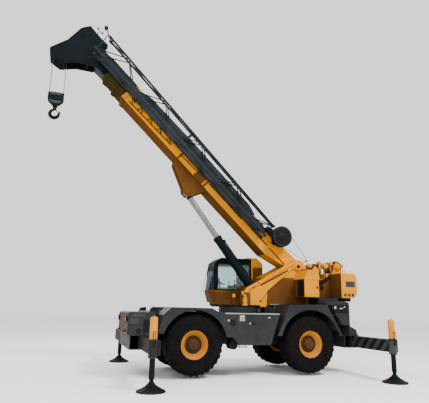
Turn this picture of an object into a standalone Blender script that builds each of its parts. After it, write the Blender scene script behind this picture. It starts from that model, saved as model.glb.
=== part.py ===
# Rough-terrain mobile crane on four outriggers: metres, +Z up, the boom points to +X.
# The model is laid out from the slewing axis (x = 0, y = 0), and the empty "crane" then puts
# the middle of the whole machine's outline over the origin.
# "left" is the +Y side and "right" is the -Y side, where the cab stands.
from math import atan2, cos, hypot, pi, radians, sin

import bmesh
import bpy
from mathutils import Matrix, Vector

FIT = 0.0003  # gap between pieces that rest on each other
RUN = 0.005  # gap between pieces that move past each other
PIN_GAP = 0.0009  # gap round a pin, also between its facets
SPINDLE_GAP = 0.0018  # the same round a wheel's spindle
RING_SIDES = 24
FINE_SIDES = 20
ROUND_SIDES = 16
PLAIN_SIDES = 12
SMALL_SIDES = 8

# Wheels, axles and steering
WHEELBASE = 4.10
TYRE_RADIUS = 0.946
TYRE_WIDTH = 0.75
TYRE_LIFT = 0.066  # the tyres hang just off the ground
TRACK_HALF = 1.255
RIM_RADIUS = 0.45
RIM_BORE = 0.385
WHEEL_SIDES = FINE_SIDES
LUG_DEPTH = 0.05
WHEEL_Z = TYRE_RADIUS + TYRE_LIFT
KINGPIN_Y = TRACK_HALF - 0.375
KINGPIN_RADIUS = 0.085
KNUCKLE_HALF_HEIGHT = 0.21
SPINDLE_RADIUS = 0.13
HUB_FACE_Y = TRACK_HALF + 0.215
DISC_Y = 0.13  # the rim's disc, out from the wheel's middle
HUB_BACK = 0.20  # how far the hub reaches inwards from the wheel's middle
AXLE_RADIUS = 0.16
DIFF_RADIUS = 0.21
YOKE_THICKNESS = 0.07
YOKE_HALF_WIDTH = 0.11

# Carrier
FRAME_HALF = 0.50
FRAME_TOP = 1.94
FRAME_BOTTOM = 1.24
FRAME_BELLY = 0.95
DECK_HALF = 0.60
DECK_TOP = 2.02
FRAME_FRONT = 3.26
FRAME_REAR = -3.56
ENGINE_SHELF = 1.46
BODY_OUT = 1.65
BODY_PLATE = 0.045
FENDER_TOP = 2.33
ARCH_FRONT = 1.07
ARCH_REAR = 1.14
STEP_TOP = 2.00
LINK_RECESS = 0.30  # how far the dark gap beside the side panel goes in
PANEL_NOSE = 4.13
PANEL_TOP = 1.98
PANEL_WALL = 0.03
PANEL_HALF = 1.30  # as wide as the outrigger boxes
PANEL_BOTTOM = 1.20
HOOD_HALF = 1.62
HOOD_TOP = 2.45
HOOD_SKIRT = 1.65
CROWN_HALF = 1.05
CROWN_TOP = 2.59
HOOD_REAR = -3.60
HOOD_PLATE = 0.04
LOUVRES = 6
LOUVRE_PITCH = 0.085

# Outriggers: beams side by side in one box at each end
BEAM_WIDTH = 0.25
BEAM_HEIGHT = 0.38
BEAM_BOX_HALF = PANEL_HALF
BEAM_BOX_WALL = 0.025
BEAM_INNER = 0.75  # where an extended beam's inner end stands
BEAM_PLATE = 0.02
STEM_HALF = 0.42  # half width of what joins a box to the frame
FLOAT_Y = 3.40
FLOAT_RADIUS = 0.385
FLOAT_EDGE = 0.045
BALL_RADIUS = 0.10
NECK_RADIUS = 0.055
JACK_RADIUS = 0.078
SLEEVE_RADIUS = 0.12
SLEEVE_BORE = JACK_RADIUS + RUN
JACK_HEAD_RADIUS = 0.096
JACK_HEAD_RISE = 0.60
SLEEVE_DROP = 0.05
JACK_TOP = 1.30
JACK_OFFSET = 0.09  # jack's centre from its beam's centre, towards the box's middle
BOX_X_FRONT = 3.755
BOX_X_REAR = -3.86
BEAM_Z_FRONT = 1.08
BEAM_Z_REAR = 1.085

# Slewing and turntable
RING_OUTER = 0.72
RING_INNER = 0.50
RING_TOP = 2.20
SIDE_PLATE_IN = 0.40
SIDE_PLATE = 0.055
SIDE_PLATE_OUT = SIDE_PLATE_IN + SIDE_PLATE
BASE_PLATE = 0.05
ARM_RISE = 0.05
ARM_FLANGE_RISE = 0.06
COUNTERWEIGHT_FRONT = -3.59
COUNTERWEIGHT_REAR = -4.27
COUNTERWEIGHT_HALF = 1.20
COUNTERWEIGHT_LOW = 2.60
PLATE_LOW = FENDER_TOP + 0.012
COUNTERWEIGHT_TOP = 3.50
HOIST_DECK = 0.04
HOIST_HALF = 0.36
HOIST_CHEEK = 0.045
CABINET_OUT = 1.27

# Boom: s along it and t square to it, from the pivot
PIVOT_X = -2.20
PIVOT_Z = 3.73
LUFF_REST = radians(44)
PIVOT_PIN = 0.07
PIVOT_TUBE = 0.15
BOOM_HALF = 0.36
BOOM_LOW = -0.60
BOOM_HIGH = 0.145
BOOM_END = 9.10
BOOM_WALL = 0.022
SECTION_STEP = 0.034  # from one section's outside to the next one's
SECTION_SHOWS = 0.50
SECTION_REAR = 1.40
COLLAR = 0.14
COLLAR_RISE = 0.022
PAD_GAP = 0.0008  # gap at a wear pad, gland or thrust face
LIFT_S = 4.90
LIFT_T = -1.12
LUG_PLATE = 0.06
EYE_HALF = 0.13
EYE_RADIUS = 0.115
BARREL_X = -0.90
BARREL_Z = 2.38
BARREL_RADIUS = 0.155
BARREL_LENGTH = 2.95
ROD_RADIUS = 0.105
LIFT_PIN = 0.06

# Boom head, hook and jib
HEAD_HALF = 0.27
HEAD_PLATE = 0.035
SHEAVE_UP = (11.76, 0.07)
SHEAVE_LOW = (11.57, -1.27)
SHEAVE_RADIUS = 0.25
GROOVE_RADIUS = 0.225
ROPE_RADIUS = 0.012
HOOK_DROP = 1.302  # from the lower head sheave to the hook block's own sheave
BLOCK_RADIUS = 0.27
BLOCK_HALF = 0.11
CHORD_RADIUS = 0.042
LACING_RADIUS = 0.022
REEL_S = 1.29
REEL_T = 0.23
REEL_RADIUS = 0.39

# Cab
CAB_IN = -(SIDE_PLATE_OUT + FIT)
CAB_OUT = -1.38
CAB_WALL = 0.05
CAB_FLOOR = 2.37
GLASS = 0.012
DOOR_THICK = 0.04
DOOR_LAP = 0.05  # how far the door covers the wall beside its doorway
DOOR_DROP = 0.03
DOOR_SLIDE = 0.55
SKIRT_OUT = -1.05
RAIL = 0.035

HEAD_OUTLINE = [  # (s, t), both side plates of the head
    (10.62, 0.12), (11.15, 0.42), (11.90, 0.44), (12.02, 0.10), (11.93, -0.60),
    (12.04, -1.32), (11.80, -1.52), (11.38, -1.44), (11.07, -0.95), (10.62, -0.55),
]


HEAD_SPACERS = ((10.86, -0.62, 0.05), (11.30, 0.30, 0.045), (11.85, -0.70, 0.045), (11.22, -0.80, 0.045))

ARM_OUTLINE = [  # (x, z), the raised boom support on the left side plate
    (0.085, 2.215), (0.085, 2.61), (-0.13, 2.885), (-2.02, 3.915), (-2.20, 3.975), (-2.40, 3.92),
    (-2.50, 3.72), (-2.42, 3.625), (-1.95, 3.615), (-0.95, 2.81), (-0.62, 2.215),
]
ARM_FLANGE = [  # (x, z), its stiff upper edge
    (0.06, 2.62), (-0.14, 2.875), (-2.00, 3.89), (-2.02, 3.82), (-0.20, 2.81), (0.01, 2.60),
]


JIB_FACE = [  # (s, t), the jib's solid inner face
    (2.30, -0.37), (9.10, -0.37), (9.60, -0.20), (9.10, 0.02), (8.40, -0.05), (3.10, -0.07), (2.10, 0.06),
    (1.80, -0.10),
]


def boom_to_crane(s, t):
    """Where a point of the boom lies in the machine's side view."""
    x = PIVOT_X + s * cos(LUFF_REST) - t * sin(LUFF_REST)
    z = PIVOT_Z + s * sin(LUFF_REST) + t * cos(LUFF_REST)
    return x, z


NOSE_X = max(boom_to_crane(s, t)[0] for s, t in HEAD_OUTLINE)
SHIFT_X = -(NOSE_X + COUNTERWEIGHT_REAR) / 2

PAINTS = {  # colour, roughness, metallic
    "orange": ((0.78, 0.40, 0.055), 0.45, 0.0),
    "grey": ((0.075, 0.08, 0.085), 0.55, 0.0),
    "dark": ((0.025, 0.035, 0.035), 0.5, 0.0),
    "rim": ((0.62, 0.25, 0.05), 0.5, 0.0),
    "rubber": ((0.02, 0.02, 0.02), 0.85, 0.0),
    "steel": ((0.45, 0.45, 0.45), 0.3, 1.0),
    "chrome": ((0.6, 0.6, 0.62), 0.15, 1.0),
    "glass": ((0.25, 0.35, 0.38), 0.1, 0.0),
    "seat": ((0.03, 0.03, 0.035), 0.8, 0.0),
    "cab": ((0.12, 0.13, 0.135), 0.5, 0.0),
}


def clear_scene():
    for item in list(bpy.data.objects):
        bpy.data.objects.remove(item, do_unlink=True)


def paint(name):
    found = bpy.data.materials.get(name)
    if found:
        return found
    colour, roughness, metallic = PAINTS[name]
    made = bpy.data.materials.new(name)
    made.use_nodes = True
    shader = made.node_tree.nodes["Principled BSDF"]
    shader.inputs["Base Color"].default_value = (*colour, 1)
    shader.inputs["Roughness"].default_value = roughness
    shader.inputs["Metallic"].default_value = metallic
    made.diffuse_color = (*colour, 1)
    return made


def empty(name, parent=None, location=(0, 0, 0), rotation=(0, 0, 0)):
    made = bpy.data.objects.new(name, None)
    bpy.context.scene.collection.objects.link(made)
    made.parent = parent
    made.location = location
    made.rotation_euler = rotation
    return made


# Shapes: each function returns a bmesh
def extruded(points, offset):
    shape = bmesh.new()
    face = shape.faces.new([shape.verts.new(point) for point in points])
    grown = bmesh.ops.extrude_face_region(shape, geom=[face])
    tops = [item for item in grown["geom"] if isinstance(item, bmesh.types.BMVert)]
    bmesh.ops.translate(shape, verts=tops, vec=offset)
    bmesh.ops.recalc_face_normals(shape, faces=shape.faces[:])
    return shape


def prism(outline, low, high):
    """An (x, z) outline, run along Y from low to high."""
    return extruded([(x, low, z) for x, z in outline], (0, high - low, 0))


def slab(outline, low, high):
    """An (x, y) outline, run along Z from low to high."""
    return extruded([(x, y, low) for x, y in outline], (0, 0, high - low))


def box(x, y, z):
    """A box between (low, high) pairs."""
    return slab([(x[0], y[0]), (x[1], y[0]), (x[1], y[1]), (x[0], y[1])], z[0], z[1])


def rod(start, end, radius, sides):
    """A round bar between two points."""
    start, end = Vector(start), Vector(end)
    way = end - start
    turned_to = way.to_track_quat("Z", "Y").to_matrix().to_4x4()
    shape = bmesh.new()
    bmesh.ops.create_cone(
        shape, cap_ends=True, segments=sides, radius1=radius,
        radius2=radius, depth=way.length,
        matrix=Matrix.Translation((start + end) / 2) @ turned_to,
    )
    return shape


def lathe(profile, sides=16, ring=False, axis="Y", centre=(0, 0, 0)):
    """(along, radius) points turned round an axis; a ring's profile is a closed loop."""
    shape = bmesh.new()
    points = [shape.verts.new((radius, along, 0)) for along, radius in profile]
    edges = [shape.edges.new(pair) for pair in zip(points, points[1:])]
    if ring:
        edges.append(shape.edges.new((points[-1], points[0])))
    bmesh.ops.spin(
        shape, geom=points + edges, cent=(0, 0, 0), axis=(0, 1, 0), angle=2 * pi,
        steps=sides, use_merge=True, use_duplicate=False,
    )
    bmesh.ops.remove_doubles(shape, verts=shape.verts[:], dist=1e-5)
    loose = [edge for edge in shape.edges if not edge.link_faces]
    bmesh.ops.delete(shape, geom=loose, context="EDGES")
    turn = {
        "Y": Matrix.Identity(4),
        "X": Matrix.Rotation(-pi / 2, 4, "Z"),
        "Z": Matrix.Rotation(pi / 2, 4, "X"),
    }[axis]
    bmesh.ops.transform(shape, matrix=Matrix.Translation(centre) @ turn, verts=shape.verts[:])
    bmesh.ops.recalc_face_normals(shape, faces=shape.faces[:])
    return shape


def mirror_y(shape):
    bmesh.ops.scale(shape, vec=(1, -1, 1), verts=shape.verts[:])
    bmesh.ops.reverse_faces(shape, faces=shape.faces[:])


def helper(shape):
    mesh = bpy.data.meshes.new("helper")
    shape.to_mesh(mesh)
    shape.free()
    made = bpy.data.objects.new("helper", mesh)
    bpy.context.scene.collection.objects.link(made)
    return made


def combined(shapes, operation):
    """One mesh from a list of shapes, by one exact Boolean."""
    items = [helper(shape) for shape in shapes]
    base = items[0]
    if len(items) > 1:
        group = bpy.data.collections.new("operands")
        for item in items[1:]:
            group.objects.link(item)
        modifier = base.modifiers.new("combine", "BOOLEAN")
        modifier.operation = operation
        modifier.operand_type = "COLLECTION"
        modifier.collection = group
        modifier.solver = "EXACT"
    graph = bpy.context.evaluated_depsgraph_get()
    mesh = bpy.data.meshes.new_from_object(base.evaluated_get(graph))
    if len(items) > 1:
        bpy.data.collections.remove(group)
    for item in items:
        bpy.data.objects.remove(item, do_unlink=True)
    shape = bmesh.new()
    shape.from_mesh(mesh)
    bpy.data.meshes.remove(mesh)
    return shape


def united(shapes):
    return combined(shapes, "UNION")


def cut(shape, cutters):
    return combined([shape, *cutters], "DIFFERENCE")


def shared(shapes):
    return combined(shapes, "INTERSECT")


def piece(name, shape, colour, parent, location=(0, 0, 0)):
    """The finished object of one node."""
    mesh = bpy.data.meshes.new(name)
    bmesh.ops.dissolve_limit(shape, angle_limit=radians(0.2), verts=shape.verts[:], edges=shape.edges[:])
    shape.to_mesh(mesh)
    shape.free()
    mesh.shade_smooth()
    mesh.set_sharp_from_angle(angle=radians(32))
    mesh.materials.append(paint(colour))
    made = bpy.data.objects.new(name, mesh)
    bpy.context.scene.collection.objects.link(made)
    made.parent = parent
    made.location = location
    return made


def inset_outline(outline, distance):
    """The outline moved inwards by a distance; its points run counter-clockwise."""
    moved = []
    count = len(outline)
    for index, here in enumerate(outline):
        before, after = outline[index - 1], outline[(index + 1) % count]
        first = Vector((here[0] - before[0], here[1] - before[1])).normalized()
        second = Vector((after[0] - here[0], after[1] - here[1])).normalized()
        normal = Vector((-first.y, first.x)) + Vector((-second.y, second.x))
        scale = distance / max(normal.dot(Vector((-first.y, first.x))), 0.2)
        moved.append((here[0] + normal.x * scale, here[1] + normal.y * scale))
    return moved


# Carrier
def make_chassis(crane):
    side = [
        (FRAME_REAR, FRAME_BOTTOM), (-1.50, FRAME_BOTTOM), (-1.20, FRAME_BELLY), (1.20, FRAME_BELLY),
        (1.50, FRAME_BOTTOM), (FRAME_FRONT - FIT, FRAME_BOTTOM), (FRAME_FRONT - FIT, FRAME_TOP + 0.01),
        (-2.62, FRAME_TOP + 0.01), (-2.62, ENGINE_SHELF), (FRAME_REAR, ENGINE_SHELF),
    ]
    locker = [  # the raised cover behind the slewing ring
        (-2.60, DECK_TOP - 0.02), (-1.36, DECK_TOP - 0.02), (-1.36, FENDER_TOP - 0.06), (-1.42, FENDER_TOP),
        (-2.60, FENDER_TOP),
    ]
    ring = lathe(
        [(DECK_TOP - 0.01, RING_INNER), (RING_TOP - FIT, RING_INNER), (RING_TOP - FIT, RING_OUTER),
         (DECK_TOP - 0.01, RING_OUTER)], RING_SIDES, True, "Z")
    shapes = [
        prism(side, -FRAME_HALF, FRAME_HALF),
        box((-2.62, FRAME_FRONT - FIT), (FIT - DECK_HALF, DECK_HALF - FIT), (FRAME_TOP, DECK_TOP)),
        prism(locker, 0.02 - DECK_HALF, DECK_HALF - 0.02),
        ring,
    ]
    boxes = ((BOX_X_FRONT, BEAM_Z_FRONT, FRAME_FRONT - 0.06), (BOX_X_REAR, BEAM_Z_REAR, FRAME_REAR + 0.06))
    rear_top = BEAM_Z_REAR + BEAM_HEIGHT / 2 + RUN + BEAM_BOX_WALL
    cover = [  # the low cover over the rear outrigger box
        (HOOD_REAR - 0.02, rear_top - 0.01), (HOOD_REAR - 0.02, 1.62), (-3.86, 1.60), (-4.10, 1.48),
        (-4.15, rear_top - 0.01),
    ]
    shapes.append(prism(cover, 0.05 - BEAM_BOX_HALF, BEAM_BOX_HALF - 0.05))
    tunnels = []
    for centre, height, back in boxes:
        half_x = BEAM_WIDTH + 2 * RUN + 1.5 * BEAM_BOX_WALL
        half_z = BEAM_HEIGHT / 2 + RUN + BEAM_BOX_WALL
        shapes.append(box((centre - half_x, centre + half_x), (-BEAM_BOX_HALF, BEAM_BOX_HALF),
                          (height - half_z, height + half_z)))
        near = centre - half_x * (1 if centre > 0 else -1)
        way = 1 if centre > 0 else -1
        top = height + half_z - 0.02
        gusset = [(back - 0.35 * way, FRAME_BOTTOM + 0.02), (near + 0.02 * way, height - half_z + 0.04),
                  (near + 0.02 * way, top), (back - 0.35 * way, top)]
        shapes.append(prism(gusset, -STEM_HALF, STEM_HALF))
        for side_sign in (-1, 1):
            middle = centre + side_sign * (BEAM_WIDTH / 2 + RUN + BEAM_BOX_WALL / 2)
            tunnels.append(box(
                (middle - BEAM_WIDTH / 2 - RUN, middle + BEAM_WIDTH / 2 + RUN),
                (-BEAM_BOX_HALF - 0.1, BEAM_BOX_HALF + 0.1),
                (height - BEAM_HEIGHT / 2 - PAD_GAP, height + BEAM_HEIGHT / 2 + RUN)))
    piece("chassis_frame", cut(united(shapes), tunnels), "grey", crane)
    engine = box((-3.50, -2.80), (-0.38, 0.38), (ENGINE_SHELF + FIT, 2.34))
    piece("engine_block", engine, "dark", crane)


def make_axles(crane):
    for name, x in (("axle_front", WHEELBASE / 2), ("axle_rear", -WHEELBASE / 2)):
        yoke_in = 0.62
        shapes = [
            rod((x, -yoke_in - 0.04, WHEEL_Z), (x, yoke_in + 0.04, WHEEL_Z), AXLE_RADIUS, PLAIN_SIDES),
            lathe([(-0.26, 0.0), (-0.26, 0.12), (-0.12, DIFF_RADIUS), (0.12, DIFF_RADIUS), (0.26, 0.12),
                   (0.26, 0.0)], PLAIN_SIDES, centre=(x, 0, WHEEL_Z)),
        ]
        for side in (-1, 1):
            for up in (-1, 1):
                low = WHEEL_Z + up * (KNUCKLE_HALF_HEIGHT + PAD_GAP)
                high = low + up * YOKE_THICKNESS
                arm = sorted((side * (yoke_in - 0.05), side * (KINGPIN_Y + 0.08)))
                shapes.append(box((x - YOKE_HALF_WIDTH, x + YOKE_HALF_WIDTH), arm, sorted((low, high))))
            wall = sorted((side * (yoke_in - 0.04), side * (yoke_in + 0.05)))
            reach = KNUCKLE_HALF_HEIGHT + YOKE_THICKNESS
            shapes.append(box((x - YOKE_HALF_WIDTH + 0.005, x + YOKE_HALF_WIDTH - 0.005), wall,
                              (WHEEL_Z - reach + 0.005, WHEEL_Z + reach - 0.005)))
            pad = sorted((side * 0.26, side * 0.44))
            shapes.append(box((x - 0.13, x + 0.13), pad, (WHEEL_Z - 0.05, FRAME_BOTTOM - FIT)))
        piece(name, united(shapes), "grey", crane)


def lugged_tyre(half):
    """A tyre whose lugs run from the middle of the tread down over both shoulders."""
    bare = TYRE_RADIUS - LUG_DEPTH
    rings = (  # y, radius on a lug, radius between lugs, points for each lug, half a pitch turned or not
        (0.03 - half, RIM_RADIUS + FIT, RIM_RADIUS + FIT, 1, 0), (-half, 0.68, 0.68, 1, 0),
        (0.02 - half, 0.85, 0.81, 3, 0), (0.12 - half, TYRE_RADIUS, bare, 3, 0),
        (0, TYRE_RADIUS, TYRE_RADIUS - 0.01, 3, 0.25), (half - 0.12, TYRE_RADIUS, bare, 3, 0.5),
        (half - 0.02, 0.85, 0.81, 3, 0.5), (half, 0.68, 0.68, 1, 0.5),
        (half - 0.03, RIM_RADIUS + FIT, RIM_RADIUS + FIT, 1, 0),
    )
    shape = bmesh.new()
    loops = []
    for y, high, low, points, turned in rings:
        loop = []
        for lug in range(WHEEL_SIDES):
            for at, radius in ((0, high), (0.55, high), (0.775, low))[:points]:
                angle = 2 * pi * (lug + turned + at) / WHEEL_SIDES
                loop.append(shape.verts.new((radius * cos(angle), y, radius * sin(angle))))
        loops.append((loop, points))
    for (first, few), (second, many) in zip(loops, loops[1:] + loops[:1]):
        for lug in range(WHEEL_SIDES):
            here = [first[(lug * few + step) % len(first)] for step in range(few + 1)]
            there = [second[(lug * many + step) % len(second)] for step in range(many + 1)]
            if few == many:
                for step in range(few):
                    shape.faces.new((here[step], here[step + 1], there[step + 1], there[step]))
            else:
                shape.faces.new((*here, *reversed(there)))
    bmesh.ops.triangulate(shape, faces=shape.faces[:])
    bmesh.ops.recalc_face_normals(shape, faces=shape.faces[:])
    return shape


def make_wheel(crane, name, x, side):
    """Knuckle, rim and tyre of one corner; side is 1 on the left."""
    kingpin = empty("kingpin_" + name, crane, (x, side * KINGPIN_Y, WHEEL_Z))
    reach = HUB_FACE_Y - KINGPIN_Y - 0.10
    shoulder = TRACK_HALF - HUB_BACK - KINGPIN_Y - PAD_GAP
    flange = SPINDLE_RADIUS + 0.06
    knuckle = united([
        rod((0, 0, -KNUCKLE_HALF_HEIGHT), (0, 0, KNUCKLE_HALF_HEIGHT), KINGPIN_RADIUS + 0.02, SMALL_SIDES),
        lathe([(-0.03, 0), (-0.03, SPINDLE_RADIUS), (0.11, SPINDLE_RADIUS), (0.11, flange), (shoulder, flange),
               (shoulder, SPINDLE_RADIUS), (reach, SPINDLE_RADIUS), (reach, 0)],
              WHEEL_SIDES, centre=(0, 0, 0)),
    ])
    if side < 0:
        mirror_y(knuckle)
    piece("knuckle_" + name, knuckle, "grey", kingpin)
    hub = empty("hub_" + name, crane, (x, side * TRACK_HALF, WHEEL_Z))
    half = TYRE_WIDTH / 2
    face = half - 0.07
    bore = SPINDLE_RADIUS + SPINDLE_GAP
    web = HUB_FACE_Y - TRACK_HALF
    rim = lathe([  # the section of the rim, disc and hub, from the bore outwards
        (-HUB_BACK, bore), (web - 0.06, bore), (web - 0.06, 0.0), (web, 0.0), (web, 0.16), (DISC_Y, 0.20),
        (DISC_Y, 0.29), (face - 0.05, RIM_BORE), (face, RIM_RADIUS), (face - 0.06, RIM_RADIUS - 0.03),
        (0.06 - face, RIM_RADIUS - 0.03), (-face, RIM_RADIUS), (-face, RIM_BORE),
        (DISC_Y - 0.05, RIM_BORE - 0.04), (DISC_Y - 0.05, 0.21), (-HUB_BACK, 0.19),
    ], WHEEL_SIDES, True)
    tyre = lugged_tyre(half)
    if side < 0:
        mirror_y(rim)
        mirror_y(tyre)
    piece("rim_" + name, rim, "rim", hub)
    piece("tyre_" + name, tyre, "rubber", hub)


def make_wheels(crane):
    for end, x in (("front", WHEELBASE / 2), ("rear", -WHEELBASE / 2)):
        for hand, side in (("left", 1), ("right", -1)):
            make_wheel(crane, end + "_" + hand, x, side)


def make_body_sides(crane):
    """Front fender, step box and rear fender of each side, as one welded body."""
    front = [(0.63, 1.23), (3.24, 1.36), (3.10, 1.92), (2.86, 2.15), (1.50, 2.14), (1.22, STEP_TOP)]
    rear = [(-3.27, 1.29), (-0.79, 1.29), (-1.25, 2.30), (-2.70, FENDER_TOP)]
    step = [(-0.54, 1.00), (0.59, 1.00), (1.00, 1.56), (1.22, STEP_TOP), (-0.89, STEP_TOP)]
    link = [(-0.60, 1.36), (-0.80, STEP_TOP - 0.03), (-1.14, STEP_TOP - 0.03), (-0.84, 1.36)]
    for name, side in (("left", 1), ("right", -1)):
        inner, outer = side * DECK_HALF, side * BODY_OUT
        low, high = min(inner, outer), max(inner, outer)
        shapes = []
        for outline, x, arch in ((front, WHEELBASE / 2, ARCH_FRONT), (rear, -WHEELBASE / 2, ARCH_REAR)):
            hollow = prism(inset_outline(outline, BODY_PLATE), low + BODY_PLATE, high - BODY_PLATE)
            opening = rod((x, low - 0.1, WHEEL_Z), (x, high + 0.1, WHEEL_Z), arch, 32)
            foot = box((x - 1.5, x + 1.5), (low + BODY_PLATE, high - BODY_PLATE), (1.0, 1.45))
            shapes.append(cut(prism(outline, low, high), [hollow, opening, foot]))
        shapes.append(prism(step, low + 0.004, high - 0.03))
        shapes.append(prism(link, *sorted((inner + side * 0.01, outer - side * LINK_RECESS))))
        piece("body_side_" + name, united(shapes), "grey", crane)


def make_front_panel(crane):
    """The front bulkhead, a shell over the outrigger box."""
    foot = BEAM_Z_FRONT + BEAM_HEIGHT / 2 + RUN + BEAM_BOX_WALL + FIT
    box_rear = BOX_X_FRONT - BEAM_WIDTH - 2 * RUN - 1.5 * BEAM_BOX_WALL - FIT
    over = [
        (FRAME_FRONT, foot), (PANEL_NOSE, foot), (PANEL_NOSE, PANEL_TOP - 0.04),
        (PANEL_NOSE - 0.04, PANEL_TOP), (FRAME_FRONT + 0.22, PANEL_TOP), (FRAME_FRONT + 0.18, DECK_TOP),
        (FRAME_FRONT, DECK_TOP),
    ]
    width = (PANEL_WALL - PANEL_HALF, PANEL_HALF - PANEL_WALL)
    inside = box((FRAME_FRONT + PANEL_WALL, PANEL_NOSE - PANEL_WALL), width, (foot - 0.1, PANEL_TOP - PANEL_WALL))
    apron = box((FRAME_FRONT, box_rear), (-PANEL_HALF, PANEL_HALF), (PANEL_BOTTOM, foot + 0.01))
    stem_width = (-STEM_HALF - FIT, STEM_HALF + FIT)
    stem = box((FRAME_FRONT - 0.1, box_rear + 0.1), stem_width, (PANEL_BOTTOM - 0.1, foot))
    post_x, post_y = FRAME_FRONT + 0.10, 1.15
    post = rod((post_x, post_y, DECK_TOP - 0.02), (post_x, post_y, DECK_TOP + 0.13), 0.05, SMALL_SIDES)
    lamps = []
    for y in (-1.05, 1.05):
        lamps.append(rod((PANEL_NOSE - 0.02, y, 1.78), (PANEL_NOSE + 0.05, y, 1.78), 0.085, PLAIN_SIDES))
    shell = cut(prism(over, -PANEL_HALF, PANEL_HALF), [inside])
    piece("front_panel", cut(united([shell, apron, post, *lamps]), [stem]), "grey", crane)


def make_hood(crane):
    """The engine hood between the rear fenders, open below."""
    foot = BEAM_Z_REAR + BEAM_HEIGHT / 2 + RUN + BEAM_BOX_WALL + FIT
    front = -2.68
    fender_top = FENDER_TOP + RUN + FIT
    outline = [
        (HOOD_REAR, HOOD_SKIRT), (-3.36, HOOD_SKIRT), (-3.27, 1.70), (-2.86, fender_top), (front, fender_top),
        (front, HOOD_TOP - 0.05), (front - 0.06, HOOD_TOP), (HOOD_REAR + 0.05, HOOD_TOP),
        (HOOD_REAR, HOOD_TOP - 0.06),
    ]
    hollow = prism(inset_outline(outline, HOOD_PLATE), HOOD_PLATE - HOOD_HALF, HOOD_HALF - HOOD_PLATE)
    under = box((HOOD_REAR + HOOD_PLATE, -3.40), (HOOD_PLATE - HOOD_HALF, HOOD_HALF - HOOD_PLATE),
                (HOOD_SKIRT - 0.1, HOOD_SKIRT + 0.1))
    room_width = (-FRAME_HALF - FIT, FRAME_HALF + FIT)
    engine_room = box((-3.41, front + 0.1), room_width, (1.0, HOOD_TOP - HOOD_PLATE))
    back = box((HOOD_REAR, HOOD_REAR + HOOD_PLATE), (-HOOD_HALF, HOOD_HALF), (foot, HOOD_SKIRT + 0.05))
    slots = []
    for side in (-1, 1):
        span = sorted((side * 0.10, side * 1.10))
        for row in range(LOUVRES):
            low = HOOD_SKIRT + 0.17 + row * LOUVRE_PITCH
            slots.append(box((HOOD_REAR - 0.1, HOOD_REAR + 0.1), span, (low, low + LOUVRE_PITCH / 2)))
    shell = cut(prism(outline, -HOOD_HALF, HOOD_HALF), [hollow, under, engine_room, *slots])
    lamps = []
    for y in (-1.40, 1.40):
        height = (HOOD_SKIRT + 0.05, HOOD_SKIRT + 0.17)
        lamps.append(box((HOOD_REAR - 0.03, HOOD_REAR + 0.02), (y - 0.09, y + 0.09), height))
    crown = box((HOOD_REAR + 0.05, front - 0.03), (-CROWN_HALF, CROWN_HALF), (HOOD_TOP - 0.03, CROWN_TOP))
    piece("engine_hood", united([shell, back, crown, *lamps]), "grey", crane)


def make_outriggers(crane):
    corners = (  # name, box centre x, beam height, side, which half of the box
        ("front_left", BOX_X_FRONT, BEAM_Z_FRONT, 1, -1),
        ("front_right", BOX_X_FRONT, BEAM_Z_FRONT, -1, 1),
        ("rear_left", BOX_X_REAR, BEAM_Z_REAR, 1, -1),
        ("rear_right", BOX_X_REAR, BEAM_Z_REAR, -1, 1),
    )
    for name, centre, height, side, half in corners:
        beam_x = centre + half * (BEAM_WIDTH / 2 + RUN + BEAM_BOX_WALL / 2)
        jack_x = beam_x - half * JACK_OFFSET
        spot = empty("outrigger_" + name, crane, (jack_x, side * FLOAT_Y, 0))
        off = half * JACK_OFFSET
        run_in = -side * (FLOAT_Y - BEAM_INNER)
        low, high = height - BEAM_HEIGHT / 2, height + BEAM_HEIGHT / 2
        bar = box((off - BEAM_WIDTH / 2, off + BEAM_WIDTH / 2), sorted((run_in, -side * 0.02)), (low, high))
        foot, head = low - SLEEVE_DROP, high + JACK_HEAD_RISE
        tube = lathe([(foot, 0), (foot, SLEEVE_RADIUS), (high + 0.02, SLEEVE_RADIUS), (high + 0.03, JACK_HEAD_RADIUS),
                      (head, JACK_HEAD_RADIUS), (head + 0.02, 0.07), (head + 0.02, 0)], PLAIN_SIDES, axis="Z")
        hollow = box((off - BEAM_WIDTH / 2 + BEAM_PLATE, off + BEAM_WIDTH / 2 - BEAM_PLATE),
                     sorted((run_in - side * 0.1, -side * 0.3)), (low + BEAM_PLATE, high - BEAM_PLATE))
        bore = rod((0, 0, low + 0.08), (0, 0, head - 0.02), SLEEVE_BORE, PLAIN_SIDES)
        guide = rod((0, 0, low - 0.2), (0, 0, low + 0.10), JACK_RADIUS + PAD_GAP, PLAIN_SIDES)
        piece("outrigger_beam_" + name, cut(united([bar, tube]), [hollow, bore, guide]), "grey", spot)
        jack = lathe([(0, 0), (0, FLOAT_RADIUS), (FLOAT_EDGE, FLOAT_RADIUS),
                      (FLOAT_EDGE + 0.012, FLOAT_RADIUS - 0.05), (0.13, 0.17), (0.15, BALL_RADIUS),
                      (0.22, BALL_RADIUS), (0.255, NECK_RADIUS),
                      (0.29, NECK_RADIUS), (0.33, JACK_RADIUS), (JACK_TOP, JACK_RADIUS), (JACK_TOP, 0)],
                     PLAIN_SIDES, axis="Z")
        piece("jack_float_" + name, jack, "steel", spot)


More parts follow.
